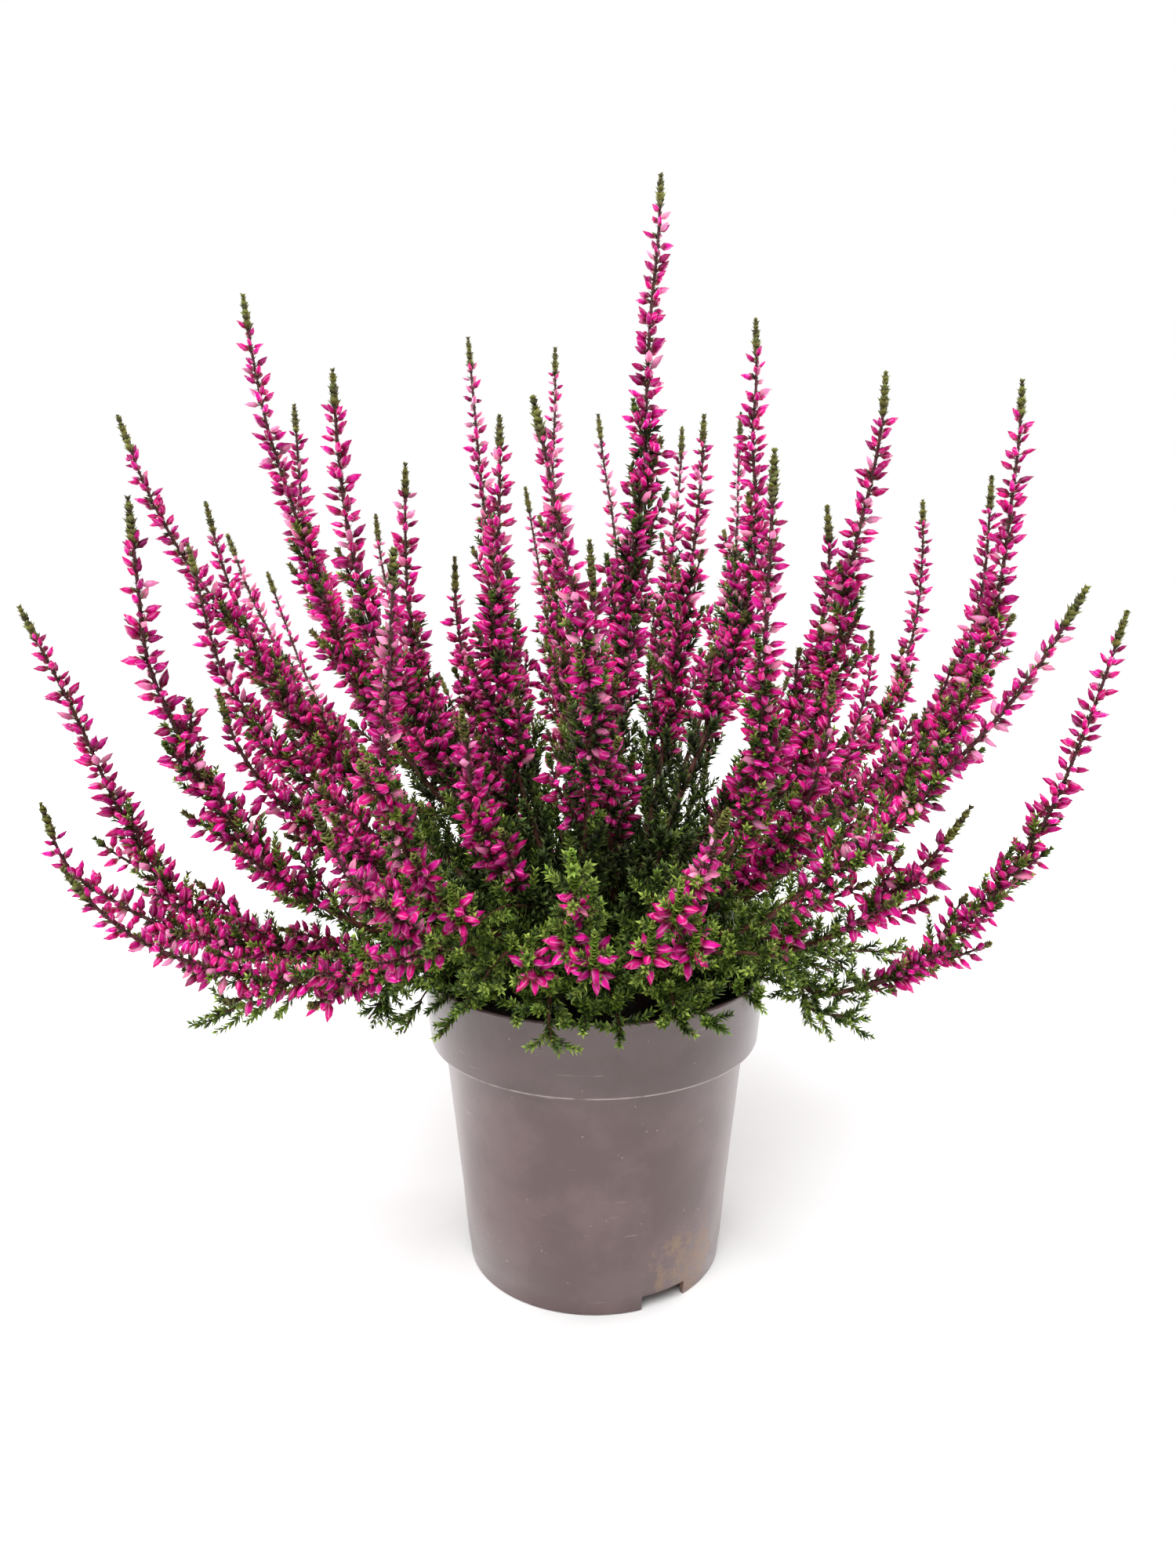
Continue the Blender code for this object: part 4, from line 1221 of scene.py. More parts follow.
@dataclass
class Routes:
    """The stems' routes, worked out as they were for the solids."""

    eye: Eye
    stems: Sequence[Stem]
    lean_power: float = 1.6
    rounds: int = 70
    gap: float = 0.0009
    step: float = 0.6
    across: float = 0.25
    smoothing: int = 3
    fixed: int = 3
    free_after: float = 4.0
    tip_length: float = 0.0150
    bare_length: float = 0.0150
    full_from: float = 0.0450
    green_girths: Row = (0.0022, 0.0042, 0.0084)
    bloom_girths: Row = (0.0084, 0.0056, 0.0024)
    rim_overrun: float = 0.0055
    steepest_fall: float = 2.2
    lift: float = 0.0055

    def first_route(self, stem: Stem, fork: Vector) -> Array:
        """A stem's route from its fork through the points where it is seen, leaning out early.

        Args:
            stem: The stem.
            fork: Where it starts.

        Returns:
            Its route.
        """
        rising = tuple(reversed(stem.sights))
        reach = [fork] + [self.eye.sighted(column, row, 0.0) for column, row in rising]
        steps = np.cumsum([(b - a).length for a, b in zip(reach, reach[1:])])
        points = [fork]
        for (column, row), step in zip(rising, steps):
            share = 1.0 - (1.0 - step / steps[-1]) ** self.lean_power
            points.append(self.eye.sighted(column, row, fork.y + (stem.depth - fork.y) * share))
        return Lines.smooth(points, PlantSizes.samples)

    def girths_of(self, stem: Stem, line: Array) -> Array:
        """How far a stem's shoots or buds reach from each sample of its route."""
        along = np.linspace(0.0, Lines.distances(line)[-1], PlantSizes.samples)
        whole = along[-1]
        seat = whole * (1.0 - stem.bloom)
        green = np.interp(along, [0.0, self.bare_length, self.full_from], self.green_girths)
        bloom = np.interp(along, [seat, whole - self.tip_length, whole], self.bloom_girths)
        return np.where(along < seat, green, bloom)

    def lifted_clear(self, lines: Array) -> Array:
        """The lines with what is over the pot lifted off its rim and soil."""
        radius = np.hypot(lines[..., 0], lines[..., 1])
        past_rim = np.maximum(radius - PlantSizes.rim_radius - self.rim_overrun, 0.0)
        lowest = PlantSizes.pot_height + self.lift - past_rim * self.steepest_fall
        rooted = np.arange(lines.shape[1]) < self.fixed
        lines[..., 2] = np.where(rooted, lines[..., 2], np.maximum(lines[..., 2], lowest))
        return lines

    def evened(self, moves: Array) -> Array:
        """The moves of each line's samples, evened out along the line."""
        for _ in range(self.smoothing):
            before = np.concatenate([moves[:, :1], moves[:, :-1]], axis=1)
            after = np.concatenate([moves[:, 1:], moves[:, -1:]], axis=1)
            moves = 0.5 * moves + 0.25 * (before + after)
        return moves

    def bent_clear(self, lines: Array, girths: Array, families: Array) -> Array:
        """The routes bent away from each other until they pass clear, chiefly along the line of sight.

        Args:
            lines: The routes.
            girths: How far each sample's shoots reach.
            families: What each sample belongs to; samples of one family may meet.

        Returns:
            The bent routes.
        """
        count, samples, _ = lines.shape
        ramp = np.clip((np.arange(samples) - self.fixed) / self.free_after, 0.0, 1.0)[None, :, None]
        reach = girths.reshape(-1)
        need = reach[:, None] + reach[None, :] + self.gap
        owner = np.repeat(np.arange(count), samples)
        family = families.reshape(-1)
        need[(owner[:, None] == owner[None, :]) | (family[:, None] == family[None, :])] = 0.0
        every = np.arange(len(reach))
        for _ in range(self.rounds):
            points = lines.reshape(-1, 3)
            squared = np.zeros(need.shape)
            for axis in range(3):
                squared += (points[:, None, axis] - points[None, :, axis]) ** 2
            lack = need - np.sqrt(squared)
            worst = lack.argmax(axis=1)
            amount = np.clip(lack[every, worst], 0.0, None)[:, None]
            away = points - points[worst]
            sight = points - np.array(self.eye.place)
            sight /= np.sqrt((sight**2).sum(axis=1))[:, None]
            along = (away * sight).sum(axis=1)[:, None] * sight
            push = along + (away - along) * self.across
            push /= np.sqrt((push**2).sum(axis=1))[:, None] + 1e-9
            moves = self.evened((push * amount * self.step).reshape(lines.shape) * ramp)
            lines = self.lifted_clear(lines + moves * ramp)
        return np.round(lines, 5)

    def settle(self) -> dict[str, Array]:
        """Every stem's route by name, as even samples from its fork to its tip."""
        forks = {branch.name: branch.fork() for branch in BRANCHES}
        places = {branch.name: place for place, branch in enumerate(BRANCHES)}
        lines = np.array([self.first_route(stem, forks[stem.branch]) for stem in self.stems])
        girths = np.array([self.girths_of(stem, line) for stem, line in zip(self.stems, lines)])
        shares = np.linspace(0.0, 1.0, PlantSizes.samples)
        families = np.array([
            np.where(shares < 1.0 - stem.bloom, places[stem.branch], len(BRANCHES) + number)
            for number, stem in enumerate(self.stems)
        ])
        lines = self.bent_clear(self.lifted_clear(lines), girths, families)
        return {
            stem.name: Lines.resampled(line, PlantSizes.samples) for stem, line in zip(self.stems, lines)
        }


class Route:
    """One line that things grow along, with its directions."""

    def __init__(self, line: Array) -> None:
        """Works out the line's directions, carried along it without twisting."""
        self.line = line
        self.along = Lines.distances(line)
        self.length = float(self.along[-1])
        ways = np.gradient(line, self.along, axis=0)
        ways /= np.linalg.norm(ways, axis=1)[:, None]
        side = np.cross(ways[0], UP if abs(ways[0][2]) < STEEP else (1.0, 0.0, 0.0))
        sides = []
        for way in ways:
            side = side - way * side.dot(way)
            side = side / np.linalg.norm(side)
            sides.append(side)
        self.ways = ways
        self.sides = np.array(sides)

    def _read(self, rows: Array, distance: Array | float) -> Array:
        """Rows read between the line's points."""
        return np.stack([np.interp(distance, self.along, rows[:, axis]) for axis in range(3)], axis=-1)

    def at(self, distance: Array | float) -> Frame:
        """The place and the directions at a distance along the line.

        Args:
            distance: The distance, or several.

        Returns:
            The place, the way along, and two ways across.
        """
        way = self._read(self.ways, distance)
        way = way / np.linalg.norm(way, axis=-1, keepdims=True)
        side = self._read(self.sides, distance)
        side = side - way * (side * way).sum(axis=-1, keepdims=True)
        side = side / np.linalg.norm(side, axis=-1, keepdims=True)
        return self._read(self.line, distance), way, side, np.cross(way, side)

    def bent(self, shape: Shape, end: float, girths: tuple[Row, Row]) -> Array:
        """A straight shape of unit height bent along the line.

        Args:
            shape: The shape.
            end: How far along the line it ends.
            girths: Distances along the line, and the shape's girth at each.

        Returns:
            Its points.
        """
        distance = shape.points[:, 2] * end
        place, _, side, cross = self.at(distance)
        girth = np.interp(distance, *girths)[:, None]
        return place + (side * shape.points[:, :1] + cross * shape.points[:, 1:2]) * girth


@dataclass(kw_only=True)
class Habit:
    """How the plant grows: lengths in metres, leans in degrees, and chance ranges as low and high."""

    golden_turn: float = math.radians(137.5)
    gap_scatter: Pair = (0.8, 1.2)

    # How far before and past the rim it is kept clear, and how far off the rim and the soil shoots stay.
    rim_reach: Pair = (-0.0035, 0.0025)
    rim_gap: float = 0.0015
    soil_gap: float = 0.002

    # Bark: girths from the fork to the tip, and ages from old (0) to young (1).
    stem_girths: Row = (0.0014, 0.00108, 0.0008, 0.0004)
    shoot_girths: Row = (0.0010, 0.0006, 0.0005, 0.0004)
    stem_ages: Row = (0.12, 0.62, 1.0)
    bark_end: float = 0.002
    foot_span: Pair = (-0.0165, 0.0028)
    foot_knots: Row = (0.0, 0.0125, 0.0155, 0.0180, 0.0193)
    foot_girths: Row = (0.0021, 0.0020, 0.0027, 0.0026, 0.0008)
    twig_girth: float = 0.0006
    skirt_girth: float = 0.0005
    twig_age: float = 0.35
    side_girths: Row = (6e-4, 3e-4)
    side_age: float = 0.9

    # Leaves: the shaded ones inside the plant are coarser.
    leaf_pitch: float = 0.00145
    leaf_length: float = 0.0029
    leaf_swell: Pair = (0.80, 0.32)
    leaf_scatter: Pair = (0.90, 1.12)
    coarse: float = 1.35
    fresh_share: Pair = (0.25, 0.60)
    quarter_scatter: Pair = (-0.12, 0.12)
    # Painted shade: within this radius, which grows with the height above the rim, most leaves take the
    # darkest rows.
    shade_radius: float = 0.038
    shade_spread: float = 0.25
    shade_share: float = 0.90

    # Leafy shoots.
    sprig_gap: float = 0.0024
    sprig_length: Pair = (0.0150, 0.0100)
    sprig_scatter: Pair = (0.72, 1.22)
    sprig_lean_scatter: Pair = (-12.0, 10.0)
    sprig_sway: Pair = (-0.10, 0.10)
    sprig_rise: float = 0.13
    bend_pitch: float = 0.0015
    turned_up: float = -0.6
    bare_length: float = 0.0050
    green_top: float = 0.0170

    # Buds, their bracts, and the small leaves between them.
    whorl_buds: int = 4
    whorl_gap: float = 0.0031
    whorl_scatter: Pair = (0.88, 1.12)
    bud_length: Pair = (0.0073, 0.0064)
    bud_scatter: Pair = (0.78, 1.10)
    bud_width: float = 0.94
    width_scatter: Pair = (0.88, 1.12)
    bud_lean: Pair = (76.0, 56.0)
    lean_scatter: Pair = (-24.0, 20.0)
    bud_sway: Pair = (-0.16, 0.16)
    loose_sway: Pair = (-0.3, 0.3)
    sparse_top: float = 0.85
    missing_share: float = 0.3
    top_shrink: float = 0.34
    whorl_turn: float = 0.12
    deep_share: float = 0.4
    shift: Pair = (-0.0016, 0.0016)
    bract_length: float = 0.0025
    bract_share: float = 0.75
    bract_sway: Pair = (-0.7, 0.7)
    bract_lean: float = 0.62
    olive_share: float = 0.45
    rachis_leaf_gap: float = 0.0019
    rachis_leaf_scatter: Pair = (0.75, 1.15)

    # Spikes far back and close in front: from which depth on, over which span, and how much thinner and
    # more faded they are.
    far_from: float = 0.070
    far_span: float = 0.070
    far_thinning: float = 0.16
    far_fading: float = 0.5
    near_from: float = -0.060
    near_span: float = 0.040
    near_thinning: float = 0.22
    near_fading: float = 0.22
    least_faded: float = 0.08

    # Side spikes.
    side_zone: float = 0.55
    side_gap: float = 0.0085
    side_length: Pair = (0.0290, 0.0130)
    side_scatter: Pair = (0.75, 1.15)
    side_lean: Pair = (28.0, 46.0)
    side_steps: int = 6
    side_rise: float = 0.20
    side_top: float = 0.0045
    side_stoutness: float = 0.85
    side_bud_gap: float = 0.0031
    side_bud_lean: Pair = (48.0, 74.0)
    side_bud_scatter: Pair = (0.80, 1.06)
    side_triples: float = 0.55
    side_bright: float = 0.6
    side_olive: float = 0.6
    side_leaf_gap: float = 0.0028
    side_leaf_scatter: Pair = (0.65, 0.85)

    # Leafy tips.
    tip_length: Pair = (0.0085, 0.0120)
    tip_pitch: float = 0.00105
    tip_taper: float = 0.62
    tip_lumps: float = 0.16
    tip_turns: Pair = (-0.2, 0.3)

    # The low shoots over the rim: reach and height of the inner and the outer ones.
    skirt_turns: int = 42
    skirt_sway: Pair = (-0.25, 0.25)
    skirt_drop: Pair = (0.000, 0.006)
    inner_reach: Pair = (0.040, 0.047)
    inner_rise: Pair = (0.1120, 0.1180)
    outer_reach: Pair = (0.056, 0.064)
    outer_rise: Pair = (0.1040, 0.1075)
    skirt_leaf_gap: float = 0.0016
    skirt_leaf_scatter: Pair = (0.9, 1.1)
    rim_clearance: float = 0.007
    cluster_length: float = 0.0155
    cluster_gap: float = 0.0026
    cluster_scatter: Pair = (0.84, 1.0)
    upright_gap: float = 0.0034
    upright_length: Pair = (0.0060, 0.0110)
    upright_lean: Pair = (24.0, 36.0)


@dataclass(kw_only=True)
class DressedBranch(Habit):
    """One branch in its looks: its wood, its leaves and its buds."""

    branch: Branch
    stems: Sequence[Stem]
    lines: dict[str, Array]
    shapes: ShapeBook
    eye: Eye

    def __post_init__(self) -> None:
        """Starts with nothing grown."""
        self.draw = np.random.default_rng(FIRST_SEED + BRANCHES.index(self.branch))
        self.fork = np.array(self.branch.fork())
        self.buds = Copies(self.shapes.bud)
        self.whorls = Copies(self.shapes.whorl)
        self.scales = Copies(self.shapes.scales)
        self.bracts = Copies(self.shapes.leaf)
        self.wood = Sheaf()

    def some(self, span: Pair) -> float:
        """A chance number from a range."""
        return self.draw.uniform(*span)

    def any_turn(self) -> float:
        """A chance turn."""
        return self.draw.uniform(0.0, math.tau)

    def one_in(self, share: float, tone: Tone, other: Tone) -> Tone:
        """A tone that this share of the copies has, or else the other."""
        return tone if self.draw.random() < share else other

    def cell(self, tone: Tone) -> Cell:
        """A cell of the colour sheet in a tone."""
        low, high = tone.value
        return int(self.draw.integers(0, CELLS)), int(self.draw.integers(low, high + 1))

    def leaning(self, frame: Frame, turn: float, lean: float) -> Array:
        """A way that leans out from a line, to the side that a turn gives."""
        outward = frame[2] * math.cos(turn) + frame[3] * math.sin(turn)
        return frame[1] * math.cos(lean) + outward * math.sin(lean)

    def clear_of_pot(self, point: Array) -> Array:
        """The point lifted off the soil or the rim, if it would be in them."""
        past_rim = math.hypot(point[0], point[1]) - PlantSizes.rim_radius
        if past_rim >= self.rim_reach[1]:
            return point
        in_pot = past_rim < self.rim_reach[0]
        lowest = PlantSizes.soil_top + self.soil_gap if in_pot else PlantSizes.pot_height + self.rim_gap
        return np.array([point[0], point[1], max(point[2], lowest)])

    def tone_at(self, place: Array) -> Tone:
        """The colour of the leaves at a place: inside the plant mostly the darkest rows, as painted shade,
        and green outside.
        """
        above = max(0.0, float(place[2]) - PlantSizes.pot_height)
        if math.hypot(place[0], place[1]) < self.shade_radius + self.shade_spread * above:
            return self.one_in(self.shade_share, Tone.SHADE, Tone.GREEN)
        return Tone.GREEN

    def steps(self, route: Route, start: float, end: float, gap: float) -> Iterator[Step]:
        """Walks along a line, turning by the golden angle.

        Args:
            route: The line.
            start: Where the walk starts.
            end: Where it ends.
            gap: How long a step is.

        Yields:
            How much of the walk is done, the place and directions there, and the turn.
        """
        turn = self.any_turn()
        distance = start
        while distance < end:
            yield (distance - start) / (end - start), route.at(distance), turn
            turn += self.golden_turn
            distance += gap * self.some(self.gap_scatter)

    def twigs(self, seen: Iterable[Sight]) -> Iterator[Array]:
        """The ends of this branch's twigs, of a list of where twigs are seen."""
        for branch, depth, (column, row) in seen:
            if branch is self.branch:
                yield np.array(self.eye.sighted(column, row, depth))

    def add_whorl(self, frame: Frame, spin: float, size: float, cell: Cell) -> None:
        """Adds a whorl of leaves round a line."""
        self.whorls.add(frame[0], frame[1], spin, size, size, cell)

    def add_bark(
        self, shape: Shape, route: Route, end: float, girths: tuple[Row, Row], ages: tuple[Row, Row]
    ) -> None:
        """Adds a stem's bark, with its girths and its ages given at distances along it."""
        points = route.bent(shape, end, girths)
        self.wood.gather(shape, points[None], None, np.interp(shape.points[:, 2] * end, *ages)[None])

    def add_twig(self, points: Sequence[Array], girth: float) -> Route:
        """Adds the bark of a small twig.

        Args:
            points: The points that it passes through.
            girth: How thick it is where it starts.

        Returns:
            Its route.
        """
        route = Route(Lines.smooth(points, 24, 8))
        girths = ((0.0, route.length), (girth, girth * 0.5))
        self.add_bark(self.shapes.twiglet, route, route.length, girths, ((0.0,), (self.twig_age,)))
        return route

    def grow_wood(self, stem: Stem, route: Route) -> None:
        """Adds a stem's bark, thinner towards its tip."""
        whole = route.length
        seat = whole * (1.0 - stem.bloom)
        girths = self.stem_girths if stem.flowers else self.shoot_girths
        ages = ((0.0, seat, whole), self.stem_ages)
        self.add_bark(
            self.shapes.twig, route, whole - self.bark_end, ((0.0, seat * 0.5, seat, whole), girths), ages
        )

    def grow_foot(self) -> None:
        """Adds the stub in the soil and the knob that the stems part from."""
        line = np.array([self.fork + [0.0, 0.0, height] for height in self.foot_span])
        route = Route(Lines.resampled(line, 12))
        girths = (self.foot_knots, self.foot_girths)
        self.add_bark(self.shapes.twig, route, route.length, girths, ((0.0,), (0.0,)))

    def grow_sprig(self, place: Array, way: Array, length: float, tone: Tone, lift: float = 1.0) -> None:
        """Adds a leafy shoot: whorls of leaves on a line that bends up.

        Args:
            place: Where it starts.
            way: The way that it starts in.
            length: How long it is.
            tone: The colour of its leaves.
            lift: How much it bends up.
        """
        coarse = self.coarse if tone is Tone.SHADE else 1.0
        pitch = self.leaf_pitch * coarse
        count = max(3, round(length / pitch))
        spin = self.any_turn()
        sway = [self.some(self.sprig_sway), self.some(self.sprig_sway), self.sprig_rise * lift]
        bend = np.array(sway) * (pitch / self.bend_pitch)
        least, swell = self.leaf_swell
        oldest, rise = self.fresh_share
        for number in range(count):
            share = number / count
            girth = self.leaf_length * (least + swell * math.sin(math.pi * min(1.0, share * 1.2 + 0.1)))
            spot = self.clear_of_pot(place)
            young = tone is Tone.GREEN and self.draw.random() < oldest + rise * share
            scale = girth * coarse * self.some(self.leaf_scatter)
            self.whorls.add(spot, way, spin, scale, scale, self.cell(Tone.FRESH if young else tone))
            place = spot + way * pitch
            way = way + bend
            way = way / np.linalg.norm(way)
            spin += math.pi / 4 + self.some(self.quarter_scatter)

    def grow_sprigs(
        self, route: Route, span: Pair, lengths: Pair, gap: float, lean: float = 46.0, fall: float = 1.0
    ) -> None:
        """Adds the leafy shoots along a stem.

        Args:
            route: The stem's route.
            span: Where they start and stop.
            lengths: How long the first and the last are.
            gap: How far apart they are.
            lean: How far they lean out, in degrees.
            fall: How steeply they may point down; those that would point lower point up.
        """
        for share, frame, turn in self.steps(route, *span, gap):
            way = self.leaning(frame, turn, math.radians(lean + self.some(self.sprig_lean_scatter)))
            if way[2] < -fall:
                way = way * [1.0, 1.0, self.turned_up]
            length = (lengths[0] + (lengths[1] - lengths[0]) * share) * self.some(self.sprig_scatter)
            self.grow_sprig(frame[0], way, length, self.tone_at(frame[0]))

    def grow_bud(self, place: Array, way: Array, length: float, tone: Tone) -> None:
        """Adds a bud on its stalk."""
        width = length * self.bud_width * self.some(self.width_scatter)
        self.buds.add(place, way, self.any_turn(), width, length, self.cell(tone))

    def grow_bloom(self, stem: Stem, route: Route, start: float, end: float) -> None:
        """Adds the whorls of buds on a spike, with small leaves between them.

        Spikes far behind and close before the camera are fainter, and their buds are smaller.

        Args:
            stem: The stem.
            route: Its route.
            start: Where they start.
            end: Where they stop.
        """
        behind = float(np.clip((stem.depth - self.far_from) / self.far_span, 0.0, 1.0))
        before = float(np.clip((self.near_from - stem.depth) / self.near_span, 0.0, 1.0))
        full = 1.0 - self.far_thinning * behind - self.near_thinning * before
        faded = self.least_faded + self.far_fading * behind + self.near_fading * before
        long, short = self.bud_length
        low, high = self.bud_lean
        distance = start
        turn = self.any_turn()
        while distance < end:
            share = (distance - start) / (end - start)
            fewer = share > self.sparse_top or self.draw.random() < self.missing_share + 0.5 * behind
            count = self.whorl_buds - int(fewer)
            for bud in range(count):
                angle = turn + (bud + self.some(self.bud_sway)) * math.tau / count
                lean = math.radians(low + (high - low) * share**2 + self.some(self.lean_scatter))
                size = (long + (short - long) * share) * self.some(self.bud_scatter) * full
                size *= 1.0 - self.top_shrink * share**8
                own = route.at(min(max(distance + self.some(self.shift), start), end))
                tone = self.one_in(faded, Tone.PALE, Tone.BRIGHT)
                tone = self.one_in(self.deep_share, Tone.DEEP, tone) if tone is Tone.BRIGHT else tone
                self.grow_bud(own[0], self.leaning(own, angle, lean), size, tone)
                if self.draw.random() < self.bract_share:
                    bract = self.leaning(own, angle + self.some(self.bract_sway), lean * self.bract_lean)
                    length = self.bract_length * self.some(self.gap_scatter)
                    cell = self.cell(self.one_in(self.olive_share, Tone.OLIVE, Tone.BROWN))
                    self.bracts.add(own[0], bract, angle, length, length, cell)
            turn += math.pi / count + self.whorl_turn
            distance += self.whorl_gap * self.some(self.whorl_scatter) * (1.0 + 0.35 * behind)
        for distance in np.arange(start, end, self.rachis_leaf_gap):
            share = (distance - start) / (end - start)
            size = self.bract_length * self.some(self.rachis_leaf_scatter) * (1.1 - 0.4 * share)
            tone = self.one_in(self.olive_share * (1.0 - share), Tone.OLIVE, Tone.BROWN)
            self.add_whorl(route.at(distance), self.any_turn(), size, self.cell(tone))

    def grow_side_spikes(self, stem: Stem, route: Route, span: Pair) -> None:
        """Adds the side spikes that stand along the lower part of a spike.

        Args:
            stem: The stem.
            route: Its route.
            span: Where they start and stop.
        """
        gap = self.side_gap * (1.9 if stem.depth < -0.075 else 1.0)
        long, short = self.side_length
        for share, frame, turn in self.steps(route, *span, gap):
            way = self.leaning(frame, turn, math.radians(self.some(self.side_lean)))
            length = (long + (short - long) * share) * self.some(self.side_scatter)
            self.grow_side_spike(frame[0], way, frame[1], length)

    def grow_side_spike(self, place: Array, way: Array, straight: Array, length: float) -> None:
        """Adds one side spike: a twig with buds, small leaves and a leafy tip.

        Args:
            place: Where it starts.
            way: The way that it starts in.
            straight: The way that it turns to.
            length: How long it is.
        """
        ends = [place]
        for _ in range(self.side_steps):
            way = way + straight * self.side_rise
            way = way / np.linalg.norm(way)
            ends.append(self.clear_of_pot(ends[-1] + way * length / self.side_steps))
        route = Route(Lines.resampled(np.array(ends), 10))
        girths = ((0.0, route.length), self.side_girths)
        self.add_bark(self.shapes.twiglet, route, route.length, girths, ((0.0,), (self.side_age,)))
        distance = min(0.0040, length * 0.25)
        turn = self.any_turn()
        top = length - self.side_top
        while distance < top:
            frame = route.at(distance)
            count = 3 if self.draw.random() < self.side_triples else 2
            for side in range(count):
                angle = turn + side * math.tau / count + self.some(self.loose_sway)
                lean = math.radians(self.some(self.side_bud_lean))
                size = self.bud_length[1] * self.some(self.side_bud_scatter)
                tone = self.one_in(self.side_bright, Tone.BRIGHT, Tone.DEEP)
                self.grow_bud(frame[0], self.leaning(frame, angle, lean), size, tone)
            turn += math.pi / count
            distance += self.side_bud_gap
        tone = self.one_in(self.side_olive, Tone.OLIVE, Tone.GREEN)
        for distance in np.arange(0.0015, top, self.side_leaf_gap):
            size = self.leaf_length * self.some(self.side_leaf_scatter)
            cell = self.cell(self.one_in(0.35, tone, Tone.BROWN))
            self.add_whorl(route.at(distance), self.any_turn(), size, cell)
        self.grow_scales(route, top, self.side_stoutness, tone)

    def grow_scales(self, route: Route, start: float, full: float, tone: Tone) -> None:
        """Adds the tip of a spike, of close scale leaves.

        Args:
            route: Its route.
            start: Where the tip starts.
            full: How stout it is.
            tone: The colour of its leaves.
        """
        span = route.length - start
        count = round(span / self.tip_pitch)
        spin = 0.0
        for number in range(count):
            share = number / count
            frame = route.at(start + span * share)
            lumps = 1.0 + self.tip_lumps * math.sin(number * 1.9 + start * 900.0)
            scale = self.leaf_length * full * (1.12 - self.tip_taper * share**1.7) * lumps
            self.scales.add(frame[0], frame[1], spin, scale, scale, self.cell(tone))
            spin += math.pi / 4 + self.some(self.tip_turns)

    def grow_skirt(self) -> None:
        """Adds the leafy twigs that spread from the fork over the rim of the pot."""
        outer = [branch for branch in BRANCHES if branch.radius > 0.010]
        for number in range(self.skirt_turns):
            turn = math.tau * (number + self.some(self.skirt_sway)) / self.skirt_turns
            if min(outer, key=lambda branch: branch.turned_from(turn)) is not self.branch:
                continue
            inner = number % 3 == 0
            reach = self.some(self.inner_reach if inner else self.outer_reach)
            rise = self.some(self.inner_rise if inner else self.outer_rise)
            way = np.array([math.cos(turn), math.sin(turn), 0.0]) * reach
            points = [
                self.fork,
                self.fork * 0.45 + way * 0.38 + [0.0, 0.0, rise * 0.55 + 0.003],
                way * 0.86 + [0.0, 0.0, rise],
                way * 1.08 + [0.0, 0.0, rise - self.some(self.skirt_drop)],
            ]
            route = self.add_twig(points, self.skirt_girth)
            half = route.length * 0.50
            self.grow_sprigs(route, (0.006, half), (0.0150, 0.0150), 0.0036)
            self.grow_sprigs(route, (half, route.length), (0.0150, 0.0085), 0.0023, 60.0, 0.35)
            for distance in np.arange(route.length * 0.4, route.length, self.skirt_leaf_gap):
                size = self.leaf_length * self.some(self.skirt_leaf_scatter)
                self.add_whorl(route.at(distance), self.any_turn(), size, self.cell(Tone.GREEN))
            self.grow_end(route, 0.004, 0.009, 0.1)

    def grow_clusters(self) -> None:
        """Adds the low shoots that carry a few buds under a leafy end."""
        for spot in self.twigs(CLUSTERS_SEEN):
            level = spot * [0.45, 0.45, 0.0] + self.fork * [0.5, 0.5, 0.0]
            height = max(spot[2] - 0.004, PlantSizes.pot_height + self.rim_clearance)
            end = spot + spot * [0.05, 0.05, 0.0] + [0.0, 0.0, 0.0100]
            points = [self.fork, level + [0.0, 0.0, height], spot, end]
            route = self.add_twig(points, self.twig_girth)
            base = route.length - self.cluster_length
            self.grow_sprigs(route, (0.006, base), (0.0140, 0.0090), 0.0034)
            for whorl in range(4):
                frame = route.at(base + whorl * self.cluster_gap)
                for side in range(4 if whorl < 3 else 2):
                    angle = whorl * 0.8 + side * math.tau / 4.0 + self.some(self.loose_sway)
                    lean = math.radians(self.draw.uniform(62.0, 118.0 - 14.0 * whorl))
                    length = self.bud_length[0] * self.some(self.cluster_scatter)
                    self.grow_bud(frame[0], self.leaning(frame, angle, lean), length, Tone.BRIGHT)
            self.grow_sprigs(route, (base, route.length - 0.003), (0.0070, 0.0045), 0.0026)
            self.grow_scales(route, base, 0.95, Tone.FRESH)

    def grow_uprights(self) -> None:
        """Adds the slim leafy shoots that stand up between the spikes or reach over the rim."""
        for spot in self.twigs(UPRIGHTS_SEEN):
            rise = spot - self.fork
            bow = self.fork + rise * [0.65, 0.65, 0.5]
            bow[2] = max(bow[2], PlantSizes.pot_height + self.rim_clearance)
            route = self.add_twig([self.fork, bow, self.fork + rise], self.twig_girth)
            turn = self.any_turn()
            for distance in np.arange(0.012, route.length - 0.006, self.upright_gap):
                frame = route.at(distance)
                way = self.leaning(frame, turn, math.radians(self.some(self.upright_lean)))
                # Painted shade: the lower part of the shoot, inside the plant, takes the darkest leaves.
                tone = Tone.GREEN if distance > route.length * 0.45 else Tone.SHADE
                self.grow_sprig(frame[0], way, self.some(self.upright_length), tone, 0.6)
                turn += self.golden_turn
            self.grow_end(route, 0.010, 0.012, 0.2)

    def grow_end(self, route: Route, back: float, length: float, lift: float) -> None:
        """Adds the leafy shoot that ends a twig, from a little way back."""
        end = route.at(route.length - back)
        self.grow_sprig(end[0], end[1], length, Tone.GREEN, lift)

